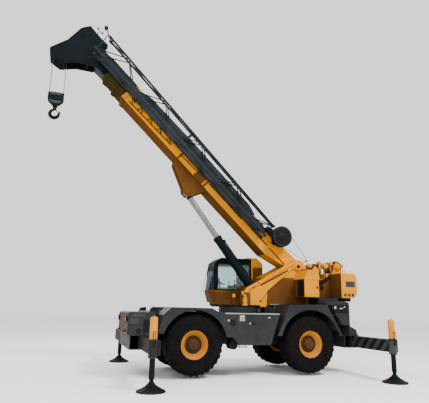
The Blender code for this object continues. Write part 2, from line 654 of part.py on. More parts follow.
# Turntable
def make_turntable(table):
    plate = [
        (0.10, RING_TOP), (0.10, 2.62), (-0.12, 2.90), (-2.02, 3.93), (-2.20, 3.99), (-2.42, 3.94),
        (-2.56, 3.72), (-2.66, 3.36), (-3.50, 3.30), (COUNTERWEIGHT_FRONT + FIT, 3.30),
        (COUNTERWEIGHT_FRONT + FIT, COUNTERWEIGHT_LOW + 0.02), (-2.64, COUNTERWEIGHT_LOW), (-2.59, PLATE_LOW),
        (-1.10, PLATE_LOW), (-0.95, RING_TOP),
    ]
    skirt = [  # carries the cab's floor
        (-0.70, CAB_FLOOR - FIT), (-0.70, 2.28), (-0.60, RING_TOP + RUN), (0.70, RING_TOP + RUN),
        (0.80, 2.28), (0.80, CAB_FLOOR - FIT),
    ]
    shapes = []
    for side in (-1, 1):
        low, high = sorted((side * SIDE_PLATE_IN, side * SIDE_PLATE_OUT))
        shapes.append(prism(plate, low, high))
    arm_out = SIDE_PLATE_OUT + ARM_RISE
    between = (-SIDE_PLATE_IN - 0.02, SIDE_PLATE_IN + 0.02)
    shapes.append(prism(ARM_OUTLINE, SIDE_PLATE_IN + 0.01, arm_out))
    shapes.append(prism(ARM_FLANGE, SIDE_PLATE_IN + 0.02, arm_out + ARM_FLANGE_RISE))
    boss = ((PIVOT_X, SIDE_PLATE_IN, PIVOT_Z), (PIVOT_X, arm_out + 0.005, PIVOT_Z))
    shapes.append(rod(*boss, PIVOT_TUBE, FINE_SIDES))
    shapes.append(prism(skirt, SKIRT_OUT, 0.01 - SIDE_PLATE_OUT))
    shapes += [
        box((-0.95, 0.10), between, (RING_TOP, RING_TOP + BASE_PLATE)),
        rod((PIVOT_X, between[0], PIVOT_Z), (PIVOT_X, between[1], PIVOT_Z), PIVOT_PIN, FINE_SIDES),
        rod((BARREL_X, between[0], BARREL_Z), (BARREL_X, between[1], BARREL_Z), LIFT_PIN, FINE_SIDES),
        box((-3.56, -2.62), between, (2.64, 2.70)),
        box((-2.56, -1.32), between, (2.40, 2.45)),
        box((-3.56, -2.62), between, (3.22, 3.28)),
        box((-3.40, -3.34), between, (2.66, 3.24)),
        lathe([(RING_TOP, RING_INNER + 0.02), (RING_TOP + 0.06, RING_INNER + 0.02),
               (RING_TOP + 0.06, RING_OUTER), (RING_TOP, RING_OUTER)], RING_SIDES, True, "Z"),
    ]
    hoists = ((-3.02, 3.60, 0.30), (-3.98, 3.80, 0.25))
    deck_top = COUNTERWEIGHT_TOP + FIT + HOIST_DECK
    shapes.append(box((-4.20, -3.50), (-HOIST_HALF, HOIST_HALF), (COUNTERWEIGHT_TOP + FIT, deck_top)))
    shapes.append(box((-3.58, -3.48), (-HOIST_HALF, HOIST_HALF), (3.24, deck_top)))
    for x, z, _ in hoists:
        foot = 3.25 if x > -3.5 else deck_top - 0.01
        for side in (-1, 1):
            low, high = sorted((side * HOIST_HALF, side * (HOIST_HALF - HOIST_CHEEK)))
            cheek = [(x - 0.20, foot), (x + 0.20, foot), (x + 0.12, z + 0.10), (x - 0.12, z + 0.10)]
            shapes.append(prism(cheek, low, high))
    piece("turntable_frame", united(shapes), "orange", table)
    for name, (x, z, radius) in zip(("hoist_drum_main", "hoist_drum_auxiliary"), hoists):
        end = HOIST_HALF - HOIST_CHEEK - FIT
        drum = lathe([(-end, 0), (-end, 0.07), (-end + 0.02, 0.07), (-end + 0.02, radius),
                      (-end + 0.05, radius), (-end + 0.05, radius * 0.78), (end - 0.05, radius * 0.78),
                      (end - 0.05, radius), (end - 0.02, radius), (end - 0.02, 0.07), (end, 0.07), (end, 0)],
                     ROUND_SIDES, centre=(x, 0, z))
        piece(name, drum, "steel", table)
    weight = [
        (COUNTERWEIGHT_REAR, 2.80), (COUNTERWEIGHT_REAR + 0.14, COUNTERWEIGHT_LOW),
        (COUNTERWEIGHT_FRONT, COUNTERWEIGHT_LOW), (COUNTERWEIGHT_FRONT, COUNTERWEIGHT_TOP),
        (COUNTERWEIGHT_REAR + 0.10, COUNTERWEIGHT_TOP), (COUNTERWEIGHT_REAR, 3.38),
    ]
    stem = box((-3.60, -3.40), (-HOIST_HALF - 0.01, HOIST_HALF + 0.01), (3.2, COUNTERWEIGHT_TOP + 0.1))
    weight = cut(prism(weight, -COUNTERWEIGHT_HALF, COUNTERWEIGHT_HALF), [stem])
    piece("counterweight", weight, "orange", table)
    cabinet = [(-2.62, 2.60), (-2.03, 2.60), (-2.03, 3.23), (-2.19, 3.56), (-2.62, 3.56)]
    piece("valve_cabinet", prism(cabinet, SIDE_PLATE_OUT + FIT, CABINET_OUT), "orange", table)


# Cab
def cab_block(inset):
    """The cab's closed form, with every wall moved in by inset."""
    side = [
        (-1.17, CAB_FLOOR), (0.80, CAB_FLOOR), (0.97, 2.76), (0.76, 3.86), (0.52, 4.03), (-0.98, 4.03),
        (-1.17, 3.86),
    ]
    plan = [
        (-1.17, CAB_OUT), (0.78, CAB_OUT), (0.98, CAB_OUT + 0.22), (0.98, CAB_IN - 0.30), (0.74, CAB_IN),
        (-1.17, CAB_IN),
    ]
    return shared([
        prism(inset_outline(side, inset), CAB_OUT - 0.1, CAB_IN + 0.1),
        slab(inset_outline(plan, inset), CAB_FLOOR - 0.1, 4.2),
    ])


WINDOWS = {  # name: the box that cuts it, as x, y and z pairs
    "windscreen": ((0.80, 1.2), (CAB_OUT + 0.06, CAB_IN - 0.06), (2.80, 3.84)),
    "side_glass": ((-0.62, 0.66), (CAB_IN - 0.25, CAB_IN + 0.2), (2.84, 3.80)),
    "rear_glass": ((-1.4, -1.0), (CAB_OUT + 0.12, CAB_IN - 0.12), (3.10, 3.76)),
}
DOORWAY = ((-0.50, 0.44), (CAB_OUT - 0.2, CAB_OUT + 0.3), (CAB_FLOOR + 0.09, 3.84))


def make_cab(table):
    cutters = [box(*window) for window in WINDOWS.values()]
    cutters.append(box(*DOORWAY))
    hollow = cab_block(CAB_WALL)
    shell = cut(cab_block(0), [hollow, *cutters])
    x, _, z = DOORWAY
    rail_x = (x[0] - DOOR_LAP - DOOR_SLIDE, x[1] + DOOR_LAP)
    rail_y = (CAB_OUT - RUN - DOOR_THICK, CAB_OUT + CAB_WALL / 2)
    door_z = (z[0] - DOOR_DROP, z[1] + DOOR_DROP)
    rails = [
        box(rail_x, rail_y, (door_z[0] - FIT - RAIL, door_z[0] - FIT)),
        box(rail_x, rail_y, (door_z[1] + FIT, door_z[1] + FIT + RAIL)),
    ]
    shell = united([shell, *rails])
    piece("cab_shell", shell, "orange", table)
    inside = CAB_WALL / 2 - GLASS / 2
    for window, (x, y, z) in WINDOWS.items():
        edge = FIT
        frame_box = box((x[0] + edge, x[1] - edge), (y[0] + edge, y[1] - edge), (z[0] + edge, z[1] - edge))
        skin = cut(cab_block(inside), [cab_block(inside + GLASS)])
        piece("cab_" + window, shared([skin, frame_box]), "glass", table)
    x, _, z = DOORWAY
    rest = CAB_FLOOR + CAB_WALL + FIT
    mid = (CAB_IN + CAB_OUT) / 2
    seat = united([
        box((-0.62, -0.10), (mid - 0.24, mid + 0.24), (rest + 0.32, rest + 0.46)),
        prism([(-0.50, rest + 0.40), (-0.66, rest + 1.05), (-0.78, rest + 1.05), (-0.64, rest + 0.36)],
              mid - 0.22, mid + 0.22),
        box((-0.52, -0.22), (mid - 0.16, mid + 0.16), (rest, rest + 0.36)),
        box((-0.5, 0.0), (mid + 0.27, mid + 0.35), (rest, rest + 0.62)),
        box((-0.5, 0.0), (mid - 0.35, mid - 0.27), (rest, rest + 0.62)),
        box((-0.48, -0.02), (mid - 0.33, mid + 0.33), (rest, rest + 0.06)),
        rod((0.50, mid, rest + 0.02), (0.42, mid, rest + 0.66), 0.05, SMALL_SIDES),
        rod((0.43, mid, rest + 0.64), (0.36, mid, rest + 0.72), 0.20, PLAIN_SIDES),
        box((-0.10, 0.55), (mid - 0.06, mid + 0.06), (rest, rest + 0.05)),
    ])
    piece("cab_interior", seat, "seat", table)
    slide = empty("door_slide", table)
    low, high = CAB_OUT - RUN - DOOR_THICK, CAB_OUT - RUN
    panel = box((x[0] - DOOR_LAP, x[1] + DOOR_LAP), (low, high), door_z)
    pane = ((x[0] + 0.06, x[1] - 0.06), (low - 0.1, high + 0.1), (2.95, z[1] - 0.06))
    piece("cab_door", cut(panel, [box(*pane)]), "orange", slide)
    middle = (low + high) / 2
    glass = box((pane[0][0] + FIT, pane[0][1] - FIT), (middle - GLASS / 2, middle + GLASS / 2),
                (pane[2][0] + FIT, pane[2][1] - FIT))
    piece("cab_door_glass", glass, "glass", slide)


# Boom
def section_box(half, low, high, start, end):
    return box((start, end), (-half, half), (low, high))


def make_boom(boom):
    foot = [
        (-0.19, -0.10), (-0.06, -0.20), (1.25, BOOM_LOW), (BOOM_END, BOOM_LOW), (BOOM_END, BOOM_HIGH),
        (0.90, BOOM_HIGH), (0.0, 0.19), (-0.19, 0.09),
    ]
    lug = [
        (4.45, BOOM_LOW + 0.02), (4.70, LIFT_T - 0.05), (4.82, LIFT_T - 0.14), (5.00, LIFT_T - 0.14),
        (5.14, LIFT_T - 0.03), (6.00, -0.80), (6.15, BOOM_LOW + 0.02),
    ]
    lug_in = EYE_HALF + RUN
    rise = COLLAR_RISE / 2
    outer = [
        prism(foot, -BOOM_HALF, BOOM_HALF),
        rod((0, RUN - SIDE_PLATE_IN, 0), (0, SIDE_PLATE_IN - RUN, 0), PIVOT_TUBE, FINE_SIDES),
        section_box(BOOM_HALF + COLLAR_RISE, BOOM_LOW - COLLAR_RISE, BOOM_HIGH + COLLAR_RISE,
                    BOOM_END - COLLAR, BOOM_END),
        section_box(BOOM_HALF + rise, BOOM_LOW - rise, BOOM_HIGH + rise, 4.6, 6.1),
    ]
    for side in (-1, 1):
        low, high = sorted((side * lug_in, side * (lug_in + LUG_PLATE)))
        outer.append(prism(lug, low, high))
        stub = sorted((side * (lug_in + LUG_PLATE - 0.02), side * (lug_in + LUG_PLATE + 0.04)))
        outer.append(rod((LIFT_S, stub[0], LIFT_T), (LIFT_S, stub[1], LIFT_T), LIFT_PIN + 0.03, PLAIN_SIDES))
    hollow = [
        section_box(BOOM_HALF - BOOM_WALL, BOOM_LOW + BOOM_WALL, BOOM_HIGH - BOOM_WALL, SECTION_REAR - 0.05,
                    BOOM_END - COLLAR),
        rod((0, -1, 0), (0, 1, 0), PIVOT_PIN + PIN_GAP, FINE_SIDES),
    ]
    names = ("boom_mid", "boom_inner", "boom_tip")
    half, low, high = BOOM_HALF, BOOM_LOW, BOOM_HIGH
    start, end = SECTION_REAR, BOOM_END
    shapes = {}
    cavities = {"boom_base": hollow}
    outsides = {"boom_base": outer}
    before = "boom_base"
    for name in names:
        half, low, high = half - SECTION_STEP, low + SECTION_STEP, high - SECTION_STEP
        mouth = section_box(half + PAD_GAP, low - PAD_GAP, high + PAD_GAP, end - COLLAR - 0.01, end + 0.1)
        cavities[before].append(mouth)
        end = end + SECTION_SHOWS
        outsides[name] = [section_box(half, low, high, start, end)]
        if name != "boom_tip":
            outsides[name].append(section_box(half + COLLAR_RISE, low - COLLAR_RISE, high + COLLAR_RISE,
                                              end - COLLAR, end))
        cavities[name] = [section_box(half - BOOM_WALL, low + BOOM_WALL, high - BOOM_WALL, start - 0.1,
                                      end - COLLAR)]
        shapes[name] = (half, low, high)
        before = name
    head = []
    for side in (-1, 1):
        y = sorted((side * HEAD_HALF, side * (HEAD_HALF - HEAD_PLATE)))
        head.append(prism(HEAD_OUTLINE, *y))
    tip_half = shapes["boom_tip"][0]
    for s, t, radius in HEAD_SPACERS:
        head.append(rod((s, -HEAD_HALF + 0.01, t), (s, HEAD_HALF - 0.01, t), radius, SMALL_SIDES))
    for s, t in (SHEAVE_UP, SHEAVE_LOW):
        for side in (-1, 1):
            ends = ((s, side * (HEAD_HALF - HEAD_PLATE - 0.04), t), (s, side * (HEAD_HALF + 0.03), t))
            head.append(rod(*ends, 0.08, PLAIN_SIDES))
    head.append(box((10.60, 10.68), (-tip_half, tip_half), (shapes["boom_tip"][1], shapes["boom_tip"][2])))
    outsides["boom_tip"] += head
    outsides["boom_tip"].append(box((10.50, 10.66), (-HEAD_HALF, HEAD_HALF), (-0.50, 0.05)))
    for name in ("boom_base", *names):
        slider = boom if name == "boom_base" else empty(name + "_slide", boom)
        colour = "dark" if name == "boom_tip" else "orange"
        piece(name, cut(united(outsides[name]), cavities[name]), colour, slider)
    tip = bpy.data.objects["boom_tip_slide"]
    reach = HEAD_HALF - HEAD_PLATE - 0.04 - FIT
    for name, (s, t) in (("head_sheaves_upper", SHEAVE_UP), ("head_sheaves_lower", SHEAVE_LOW)):
        profile = [(-reach, 0), (-reach, 0.07)]
        grooves = 3
        width = 2 * reach / grooves
        for index in range(grooves):
            at = -reach + index * width
            profile += [(at + 0.015, SHEAVE_RADIUS), (at + width / 2 - 0.012, GROOVE_RADIUS),
                        (at + width / 2 + 0.012, GROOVE_RADIUS), (at + width - 0.015, SHEAVE_RADIUS)]
            if index < grooves - 1:
                profile += [(at + width, 0.15)]
        profile += [(reach, 0.07), (reach, 0)]
        piece(name, lathe(profile, ROUND_SIDES, centre=(s, 0, t)), "steel", tip)


def make_jib(boom):
    """The lattice extension, stowed along the boom's left side."""
    low_y = 0.52
    rear, front = 1.75, 10.9
    shapes = [prism(JIB_FACE, low_y, low_y + 0.10)]
    chords = (  # y and t at the rear, y and t at the front
        (0.56, -0.30, 0.56, -0.34), (0.80, -0.26, 0.92, -0.30), (0.60, 0.28, 0.60, 0.46),
        (0.80, 0.24, 0.92, 0.42),
    )
    ends = []
    for rear_y, rear_t, front_y, front_t in chords:
        shapes.append(rod((rear, rear_y, rear_t), (front, front_y, front_t), CHORD_RADIUS, 6))
        ends.append(((rear_y, rear_t), (front_y, front_t)))

    def chord_point(index, s):
        (rear_y, rear_t), (front_y, front_t) = ends[index]
        part = (s - rear) / (front - rear)
        return s, rear_y + (front_y - rear_y) * part, rear_t + (front_t - rear_t) * part

    bays = 9
    pitch = (front - rear - 0.1) / bays
    for first, second in ((0, 2), (1, 3), (0, 1), (2, 3)):
        for bay in range(bays):
            s = rear + 0.05 + bay * pitch
            pair = (first, second) if bay % 2 else (second, first)
            shapes.append(rod(chord_point(pair[0], s), chord_point(pair[1], s + pitch), LACING_RADIUS, 5))
    for s in (3.0, 8.6):
        shapes.append(box((s, s + 0.14), (BOOM_HALF + FIT, 0.58), (-0.36, -0.26)))
    piece("swingaway_jib", united(shapes), "dark", boom)
    hub = REEL_RADIUS - 0.08
    reel = united([
        lathe([(0.60, 0), (0.60, REEL_RADIUS), (0.63, REEL_RADIUS), (0.65, hub), (0.75, hub),
               (0.77, REEL_RADIUS), (0.80, REEL_RADIUS), (0.80, 0)], FINE_SIDES, centre=(REEL_S, 0, REEL_T)),
        box((REEL_S - 0.08, REEL_S + 0.08), (BOOM_HALF + FIT, 0.62), (-0.10, REEL_T + 0.06)),
    ])
    piece("cable_reel", reel, "dark", boom)


def make_lift(table):
    pin_x, pin_z = boom_to_crane(LIFT_S, LIFT_T)
    reach = hypot(pin_x - BARREL_X, pin_z - BARREL_Z)
    angle = atan2(pin_z - BARREL_Z, pin_x - BARREL_X)
    hinge = empty("lift_cylinder_hinge", table, (BARREL_X, 0, BARREL_Z), (0, -angle, 0))
    barrel = united([
        rod((0, -EYE_HALF, 0), (0, EYE_HALF, 0), EYE_RADIUS, FINE_SIDES),
        lathe([(0.05, 0), (0.05, 0.10), (0.30, BARREL_RADIUS), (BARREL_LENGTH - 0.12, BARREL_RADIUS),
               (BARREL_LENGTH - 0.12, BARREL_RADIUS - 0.012), (BARREL_LENGTH, BARREL_RADIUS - 0.012),
               (BARREL_LENGTH, 0)], ROUND_SIDES, axis="X"),
    ])
    bores = [
        rod((0, -1, 0), (0, 1, 0), LIFT_PIN + PIN_GAP, FINE_SIDES),
        rod((0.25, 0, 0), (BARREL_LENGTH + 0.1, 0, 0), ROD_RADIUS + PAD_GAP, ROUND_SIDES),
    ]
    piece("lift_barrel", cut(barrel, bores), "dark", hinge)
    slide = empty("lift_rod_slide", hinge)
    ram = united([
        rod((reach - 3.25, 0, 0), (reach - 0.05, 0, 0), ROD_RADIUS, ROUND_SIDES),
        rod((reach, -EYE_HALF, 0), (reach, EYE_HALF, 0), EYE_RADIUS, FINE_SIDES),
    ])
    piece("lift_rod", ram, "chrome", slide)


def make_hook(boom):
    x, z = boom_to_crane(*SHEAVE_LOW)
    plumb = empty("hook_hinge", bpy.data.objects["crane"], (x, 0, z))
    fall = GROOVE_RADIUS + ROPE_RADIUS + 0.0025
    count = 12
    curve = bpy.data.curves.new("rope_path", "CURVE")
    curve.dimensions = "3D"
    arc = [(fall * cos(pi * step / count), 0, fall * sin(pi * step / count)) for step in range(count + 1)]
    path = [(fall, 0, -HOOK_DROP)] + arc + [(-fall, 0, -HOOK_DROP)]
    spline = curve.splines.new("POLY")
    spline.points.add(len(path) - 1)
    for point, place in zip(spline.points, path):
        point.co = (*place, 1)
    curve.bevel_depth = ROPE_RADIUS
    curve.bevel_resolution = 1
    curve.use_fill_caps = True
    curve.materials.append(paint("dark"))
    rope = bpy.data.objects.new("hook_rope", curve)
    bpy.context.scene.collection.objects.link(rope)
    rope.parent = plumb
    top = -HOOK_DROP - FIT
    cheek = [(-0.16, top - 0.02), (-0.27, top - 0.12), (-0.27, top - 0.30), (-0.12, top - 0.46),
             (0.12, top - 0.46), (0.27, top - 0.30), (0.27, top - 0.12), (0.16, top - 0.02)]
    rim, groove = BLOCK_RADIUS - 0.04, BLOCK_RADIUS - 0.07
    shapes = [
        prism(cheek, BLOCK_HALF - 0.03, BLOCK_HALF),
        prism(cheek, -BLOCK_HALF, 0.03 - BLOCK_HALF),
        lathe([(-0.07, 0), (-0.07, rim), (-0.03, rim), (-0.012, groove), (0.012, groove), (0.03, rim),
               (0.07, rim), (0.07, 0)], ROUND_SIDES, centre=(0, 0, top - 0.24)),
        rod((0, -BLOCK_HALF - 0.02, top - 0.24), (0, BLOCK_HALF + 0.02, top - 0.24), 0.05, SMALL_SIDES),
        box((-0.09, 0.09), (-BLOCK_HALF, BLOCK_HALF), (top - 0.52, top - 0.42)),
        box((-fall - 0.03, fall + 0.03), (-0.04, 0.04), (top - 0.16, top)),
        rod((0, 0, top - 0.62), (0, 0, top - 0.45), 0.04, SMALL_SIDES),
    ]
    piece("hook_block", united(shapes), "dark", plumb)
    bend = top - 0.84
    section = [(-0.035, 0.10), (0.035, 0.10), (0.035, 0.17), (-0.035, 0.17)]
    ring = lathe(section, ROUND_SIDES, True, centre=(0, 0, bend))
    mouth = box((0.0, 0.3), (-0.1, 0.1), (bend + 0.02, bend + 0.3))
    shank = rod((0, 0, bend + 0.12), (0, 0, top - 0.62 - FIT), 0.035, SMALL_SIDES)
    piece("hook", united([cut(ring, [mouth]), shank]), "dark", plumb)


def main():
    clear_scene()
    crane = empty("crane", location=(SHIFT_X, 0, 0))
    make_chassis(crane)
    make_axles(crane)
    make_wheels(crane)
    make_body_sides(crane)
    make_front_panel(crane)
    make_hood(crane)
    make_outriggers(crane)
    table = empty("turntable", crane)
    make_turntable(table)
    make_cab(table)
    boom = empty("boom", table, (PIVOT_X, 0, PIVOT_Z), (0, -LUFF_REST, 0))
    make_boom(boom)
    make_jib(boom)
    make_lift(table)
    make_hook(boom)


main()
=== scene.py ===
from math import cos, pi, radians, sin

import bpy
from mathutils import Matrix, Vector


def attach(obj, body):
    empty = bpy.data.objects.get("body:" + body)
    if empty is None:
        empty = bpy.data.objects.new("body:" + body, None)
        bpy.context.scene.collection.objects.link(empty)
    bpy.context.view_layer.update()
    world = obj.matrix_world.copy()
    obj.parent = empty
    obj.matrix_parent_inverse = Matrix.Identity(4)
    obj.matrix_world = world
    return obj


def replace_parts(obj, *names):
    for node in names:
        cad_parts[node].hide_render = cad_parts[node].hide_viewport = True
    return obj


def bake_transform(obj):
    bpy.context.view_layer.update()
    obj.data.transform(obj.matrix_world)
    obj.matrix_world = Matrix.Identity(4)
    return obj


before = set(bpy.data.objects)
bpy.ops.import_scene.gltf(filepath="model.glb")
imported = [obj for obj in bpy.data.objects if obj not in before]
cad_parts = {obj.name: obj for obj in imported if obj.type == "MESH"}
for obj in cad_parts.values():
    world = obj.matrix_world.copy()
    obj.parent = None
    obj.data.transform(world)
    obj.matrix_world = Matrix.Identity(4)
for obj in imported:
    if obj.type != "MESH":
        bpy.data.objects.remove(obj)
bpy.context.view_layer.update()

# Places of the layout: x counts from the slewing axis, s and t lie along and square to the boom
layout = {
    "shiftX": -1.5539001225416182, "pivotX": -2.2, "pivotZ": 3.73, "boomAngle": radians(44),
    "wheelX": (2.05, -2.05), "wheelY": 1.255, "wheelZ": 1.012,
}
corners = ("front_left", "front_right", "rear_left", "rear_right")


def atX(x):
    return x + layout["shiftX"]


def onBoom(s, y, t):
    turn = layout["boomAngle"]
    return Vector((atX(layout["pivotX"] + s * cos(turn) - t * sin(turn)), y,
                   layout["pivotZ"] + s * sin(turn) + t * cos(turn)))


def boomPlace():
    # Boom coordinates (s, y, t) to the row frame
    foot = Matrix.Translation((atX(layout["pivotX"]), 0, layout["pivotZ"]))
    return foot @ Matrix.Rotation(-layout["boomAngle"], 4, "Y")


# The crane's own frame, where every part stands that is given no other place
cranePlace = Matrix.Translation((layout["shiftX"], 0, 0))


# Camera, floor and lights
camera = {
    "place": (4.405, 15.7455, 2.1589), "yaw": 0.3055, "pitch": 0.2336, "roll": 0.0189, "lens": 37.52,
}
studio = {
    "floor": (0.9, 0.9, 0.89), "world": (0.97, 0.98, 1.0), "worldStrength": 1.45,
    "keyPlace": (-9.0, 15.0, 20.0), "keySize": 5.0, "keyPower": 6600, "keyColour": (1.0, 0.95, 0.88),
    "fillPlace": (9.0, 14.0, 12.0), "fillSize": 6.0, "fillPower": 1700,
    "backPlace": (6.0, -14.0, 12.0), "backSize": 9.0, "backPower": 1200,
    "aim": (0.0, 0.0, 4.0),
}


def makeCamera():
    yaw, pitch, roll = camera["yaw"], camera["pitch"], camera["roll"]
    ahead = Vector((-sin(yaw) * cos(pitch), -cos(yaw) * cos(pitch), sin(pitch)))
    right = Vector((-cos(yaw), sin(yaw), 0))
    up = right.cross(ahead)
    across = cos(roll) * right + sin(roll) * up
    rise = cos(roll) * up - sin(roll) * right
    data = bpy.data.cameras.new("camera")
    data.lens = camera["lens"]
    data.clip_end = 200
    made = bpy.data.objects.new("camera", data)
    bpy.context.scene.collection.objects.link(made)
    turn = Matrix((across, rise, -ahead)).transposed().to_4x4()
    made.matrix_world = Matrix.Translation(camera["place"]) @ turn
    bpy.context.scene.camera = made


def makeLight(name):
    data = bpy.data.lights.new(name + "Light", "AREA")
    data.size = studio[name + "Size"]
    data.energy = studio[name + "Power"]
    data.color = studio.get(name + "Colour", (1, 1, 1))
    made = bpy.data.objects.new(name + "Light", data)
    bpy.context.scene.collection.objects.link(made)
    place = Vector(studio[name + "Place"])
    made.location = place
    made.rotation_euler = (place - Vector(studio["aim"])).to_track_quat("Z", "Y").to_euler()


def makeStudio():
    world = bpy.data.worlds.new("studio")
    world.use_nodes = True
    world.node_tree.nodes["Background"].inputs["Color"].default_value = (*studio["world"], 1)
    world.node_tree.nodes["Background"].inputs["Strength"].default_value = studio["worldStrength"]
    bpy.context.scene.world = world
    for name in ("key", "fill", "back"):
        makeLight(name)
    deselect()
    bpy.ops.mesh.primitive_circle_add(vertices=64, radius=90, fill_type="NGON", location=(0, 0, -0.002))
    floor = bpy.context.object
    floor.name = "floor"
    material = bpy.data.materials.new("floor")
    material.use_nodes = True
    shader = material.node_tree.nodes["Principled BSDF"]
    shader.inputs["Base Color"].default_value = (*studio["floor"], 1)
    shader.inputs["Roughness"].default_value = 0.9
    floor.data.materials.append(material)


# Small hands for modelling
def deselect():
    if bpy.context.object and bpy.context.object.mode != "OBJECT":
        bpy.ops.object.mode_set(mode="OBJECT")
    bpy.ops.object.select_all(action="DESELECT")


def only(item):
    deselect()
    item.select_set(True)
    bpy.context.view_layer.objects.active = item


def bevelAll(item, width, segments=1):
    only(item)
    modifier = item.modifiers.new("edges", "BEVEL")
    modifier.width = width
    modifier.segments = segments
    modifier.limit_method = "ANGLE"
    modifier.angle_limit = radians(35)
    bpy.ops.object.modifier_apply(modifier="edges")
    return item


def block(x, y, z, bevel=0.006, place=cranePlace):
    # A box between (low, high) pairs with its edges broken; place is a matrix
    deselect()
    centre = [(pair[0] + pair[1]) / 2 for pair in (x, y, z)]
    bpy.ops.mesh.primitive_cube_add(size=1, location=centre)
    item = bpy.context.object
    item.scale = [abs(pair[1] - pair[0]) for pair in (x, y, z)]
    bpy.ops.object.transform_apply(location=True, rotation=True, scale=True)
    if bevel:
        bevelAll(item, bevel)
    if place is not None:
        item.data.transform(place)
    return item


def bar(start, end, radius, sides=12, tip=None, place=cranePlace):
    # A round bar between two points
    start, end = Vector(start), Vector(end)
    deselect()
    bpy.ops.mesh.primitive_cone_add(vertices=sides, radius1=radius, radius2=radius if tip is None else tip,
                                    depth=(end - start).length)
    item = bpy.context.object
    turn = (end - start).to_track_quat("Z", "Y").to_matrix().to_4x4()
    item.data.transform(Matrix.Translation((start + end) / 2) @ turn)
    if place is not None:
        item.data.transform(place)
    return item


def turned(profile, sides, centre=(0, 0, 0), axis="Y", place=None):
    # (along, radius) points spun round an axis through centre
    mesh = bpy.data.meshes.new("turned")
    points = [(radius, along, 0) for along, radius in profile]
    mesh.from_pydata(points, [(index, index + 1) for index in range(len(points) - 1)], [])
    item = bpy.data.objects.new("turned", mesh)
    bpy.context.scene.collection.objects.link(item)
    only(item)
    bpy.ops.object.mode_set(mode="EDIT")
    bpy.ops.mesh.select_all(action="SELECT")
    bpy.ops.mesh.spin(steps=sides, angle=2 * pi, center=(0, 0, 0), axis=(0, 1, 0))
    bpy.ops.mesh.select_all(action="SELECT")
    bpy.ops.mesh.remove_doubles(threshold=0.0001)
    bpy.ops.mesh.normals_make_consistent(inside=False)
    bpy.ops.object.mode_set(mode="OBJECT")
    turns = {
        "Y": Matrix.Identity(4), "X": Matrix.Rotation(-pi / 2, 4, "Z"),
        "Z": Matrix.Rotation(pi / 2, 4, "X"),
    }
    item.data.transform(Matrix.Translation(centre) @ turns[axis])
    if place is not None:
        item.data.transform(place)
    return item


def plate(outline, low, high, bevel=0.006, place=cranePlace):
    # An (x, z) outline run from y low to y high
    deselect()
    mesh = bpy.data.meshes.new("plate")
    mesh.from_pydata([(x, low, z) for x, z in outline], [], [list(range(len(outline)))])
    item = bpy.data.objects.new("plate", mesh)
    bpy.context.scene.collection.objects.link(item)
    only(item)
    bpy.ops.object.mode_set(mode="EDIT")
    bpy.ops.mesh.select_all(action="SELECT")
    bpy.ops.mesh.extrude_region_move(TRANSFORM_OT_translate={"value": (0, high - low, 0)})
    bpy.ops.mesh.select_all(action="SELECT")
    bpy.ops.mesh.normals_make_consistent(inside=False)
    bpy.ops.object.mode_set(mode="OBJECT")
    if bevel:
        bevelAll(item, bevel)
    if place is not None:
        item.data.transform(place)
    return item


def tube(points, radius, sides=8, place=cranePlace, swell=None):
    # A smooth hose or bent bar through points
    data = bpy.data.curves.new("tube", "CURVE")
    data.dimensions = "3D"
    spline = data.splines.new("NURBS")
    spline.points.add(len(points) - 1)
    for knot, point, part in zip(spline.points, points, swell or [1.0] * len(points)):
        knot.co = (*point, 1)
        knot.radius = part
    spline.use_endpoint_u = True
    spline.order_u = 3
    data.resolution_u = 6
    data.bevel_depth = radius
    data.bevel_resolution = max(0, sides // 4 - 1)
    data.use_fill_caps = True
    item = bpy.data.objects.new("tube", data)
    bpy.context.scene.collection.objects.link(item)
    only(item)
    bpy.ops.object.convert(target="MESH")
    if place is not None:
        item.data.transform(place)
    return item


def copied(item, place):
    twin = item.copy()
    twin.data = item.data.copy()
    bpy.context.scene.collection.objects.link(twin)
    twin.data.transform(place)
    return twin


def mirrored(item):
    twin = copied(item, Matrix.Scale(-1, 4, (0, 1, 0)))
    only(twin)
    bpy.ops.object.mode_set(mode="EDIT")
    bpy.ops.mesh.select_all(action="SELECT")
    bpy.ops.mesh.flip_normals()
    bpy.ops.object.mode_set(mode="OBJECT")
    return twin


def finishPiece(name, parts, material, body, smooth=35):
    # Joins the parts to one piece, paints it and lets it ride on its body
    parts = parts if isinstance(parts, list) else [parts]
    only(parts[0])
    for part in parts:
        part.select_set(True)
    if len(parts) > 1:
        bpy.ops.object.join()
    item = bpy.context.object
    item.name = name
    item.data.name = name
    if smooth:
        bpy.ops.object.shade_smooth_by_angle(angle=radians(smooth))
    item.data.materials.clear()
    item.data.materials.append(materials[material])
    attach(item, body)
    return item


def circle(count, reach, turn=0.0):
    # (across, up) of points spread evenly round a centre
    return [(reach * cos(turn + 2 * pi * k / count), reach * sin(turn + 2 * pi * k / count))
            for k in range(count)]


def boltHead(radius, height):
    # One hexagon head on its washer, standing on z = 0
    deselect()
    bpy.ops.mesh.primitive_cylinder_add(vertices=6, radius=radius, depth=height, location=(0, 0, height / 2))
    head = bpy.context.object
    bpy.ops.object.transform_apply(location=True, rotation=True, scale=True)
    bevelAll(head, height * 0.18)
    deselect()
    bpy.ops.mesh.primitive_cylinder_add(vertices=12, radius=radius * 1.35, depth=height * 0.24,
            location=(0, 0, height * 0.1))
    washer = bpy.context.object
    bpy.ops.object.transform_apply(location=True, rotation=True, scale=True)
    head.select_set(True)
    bpy.context.view_layer.objects.active = head
    bpy.ops.object.join()
    return bpy.context.object


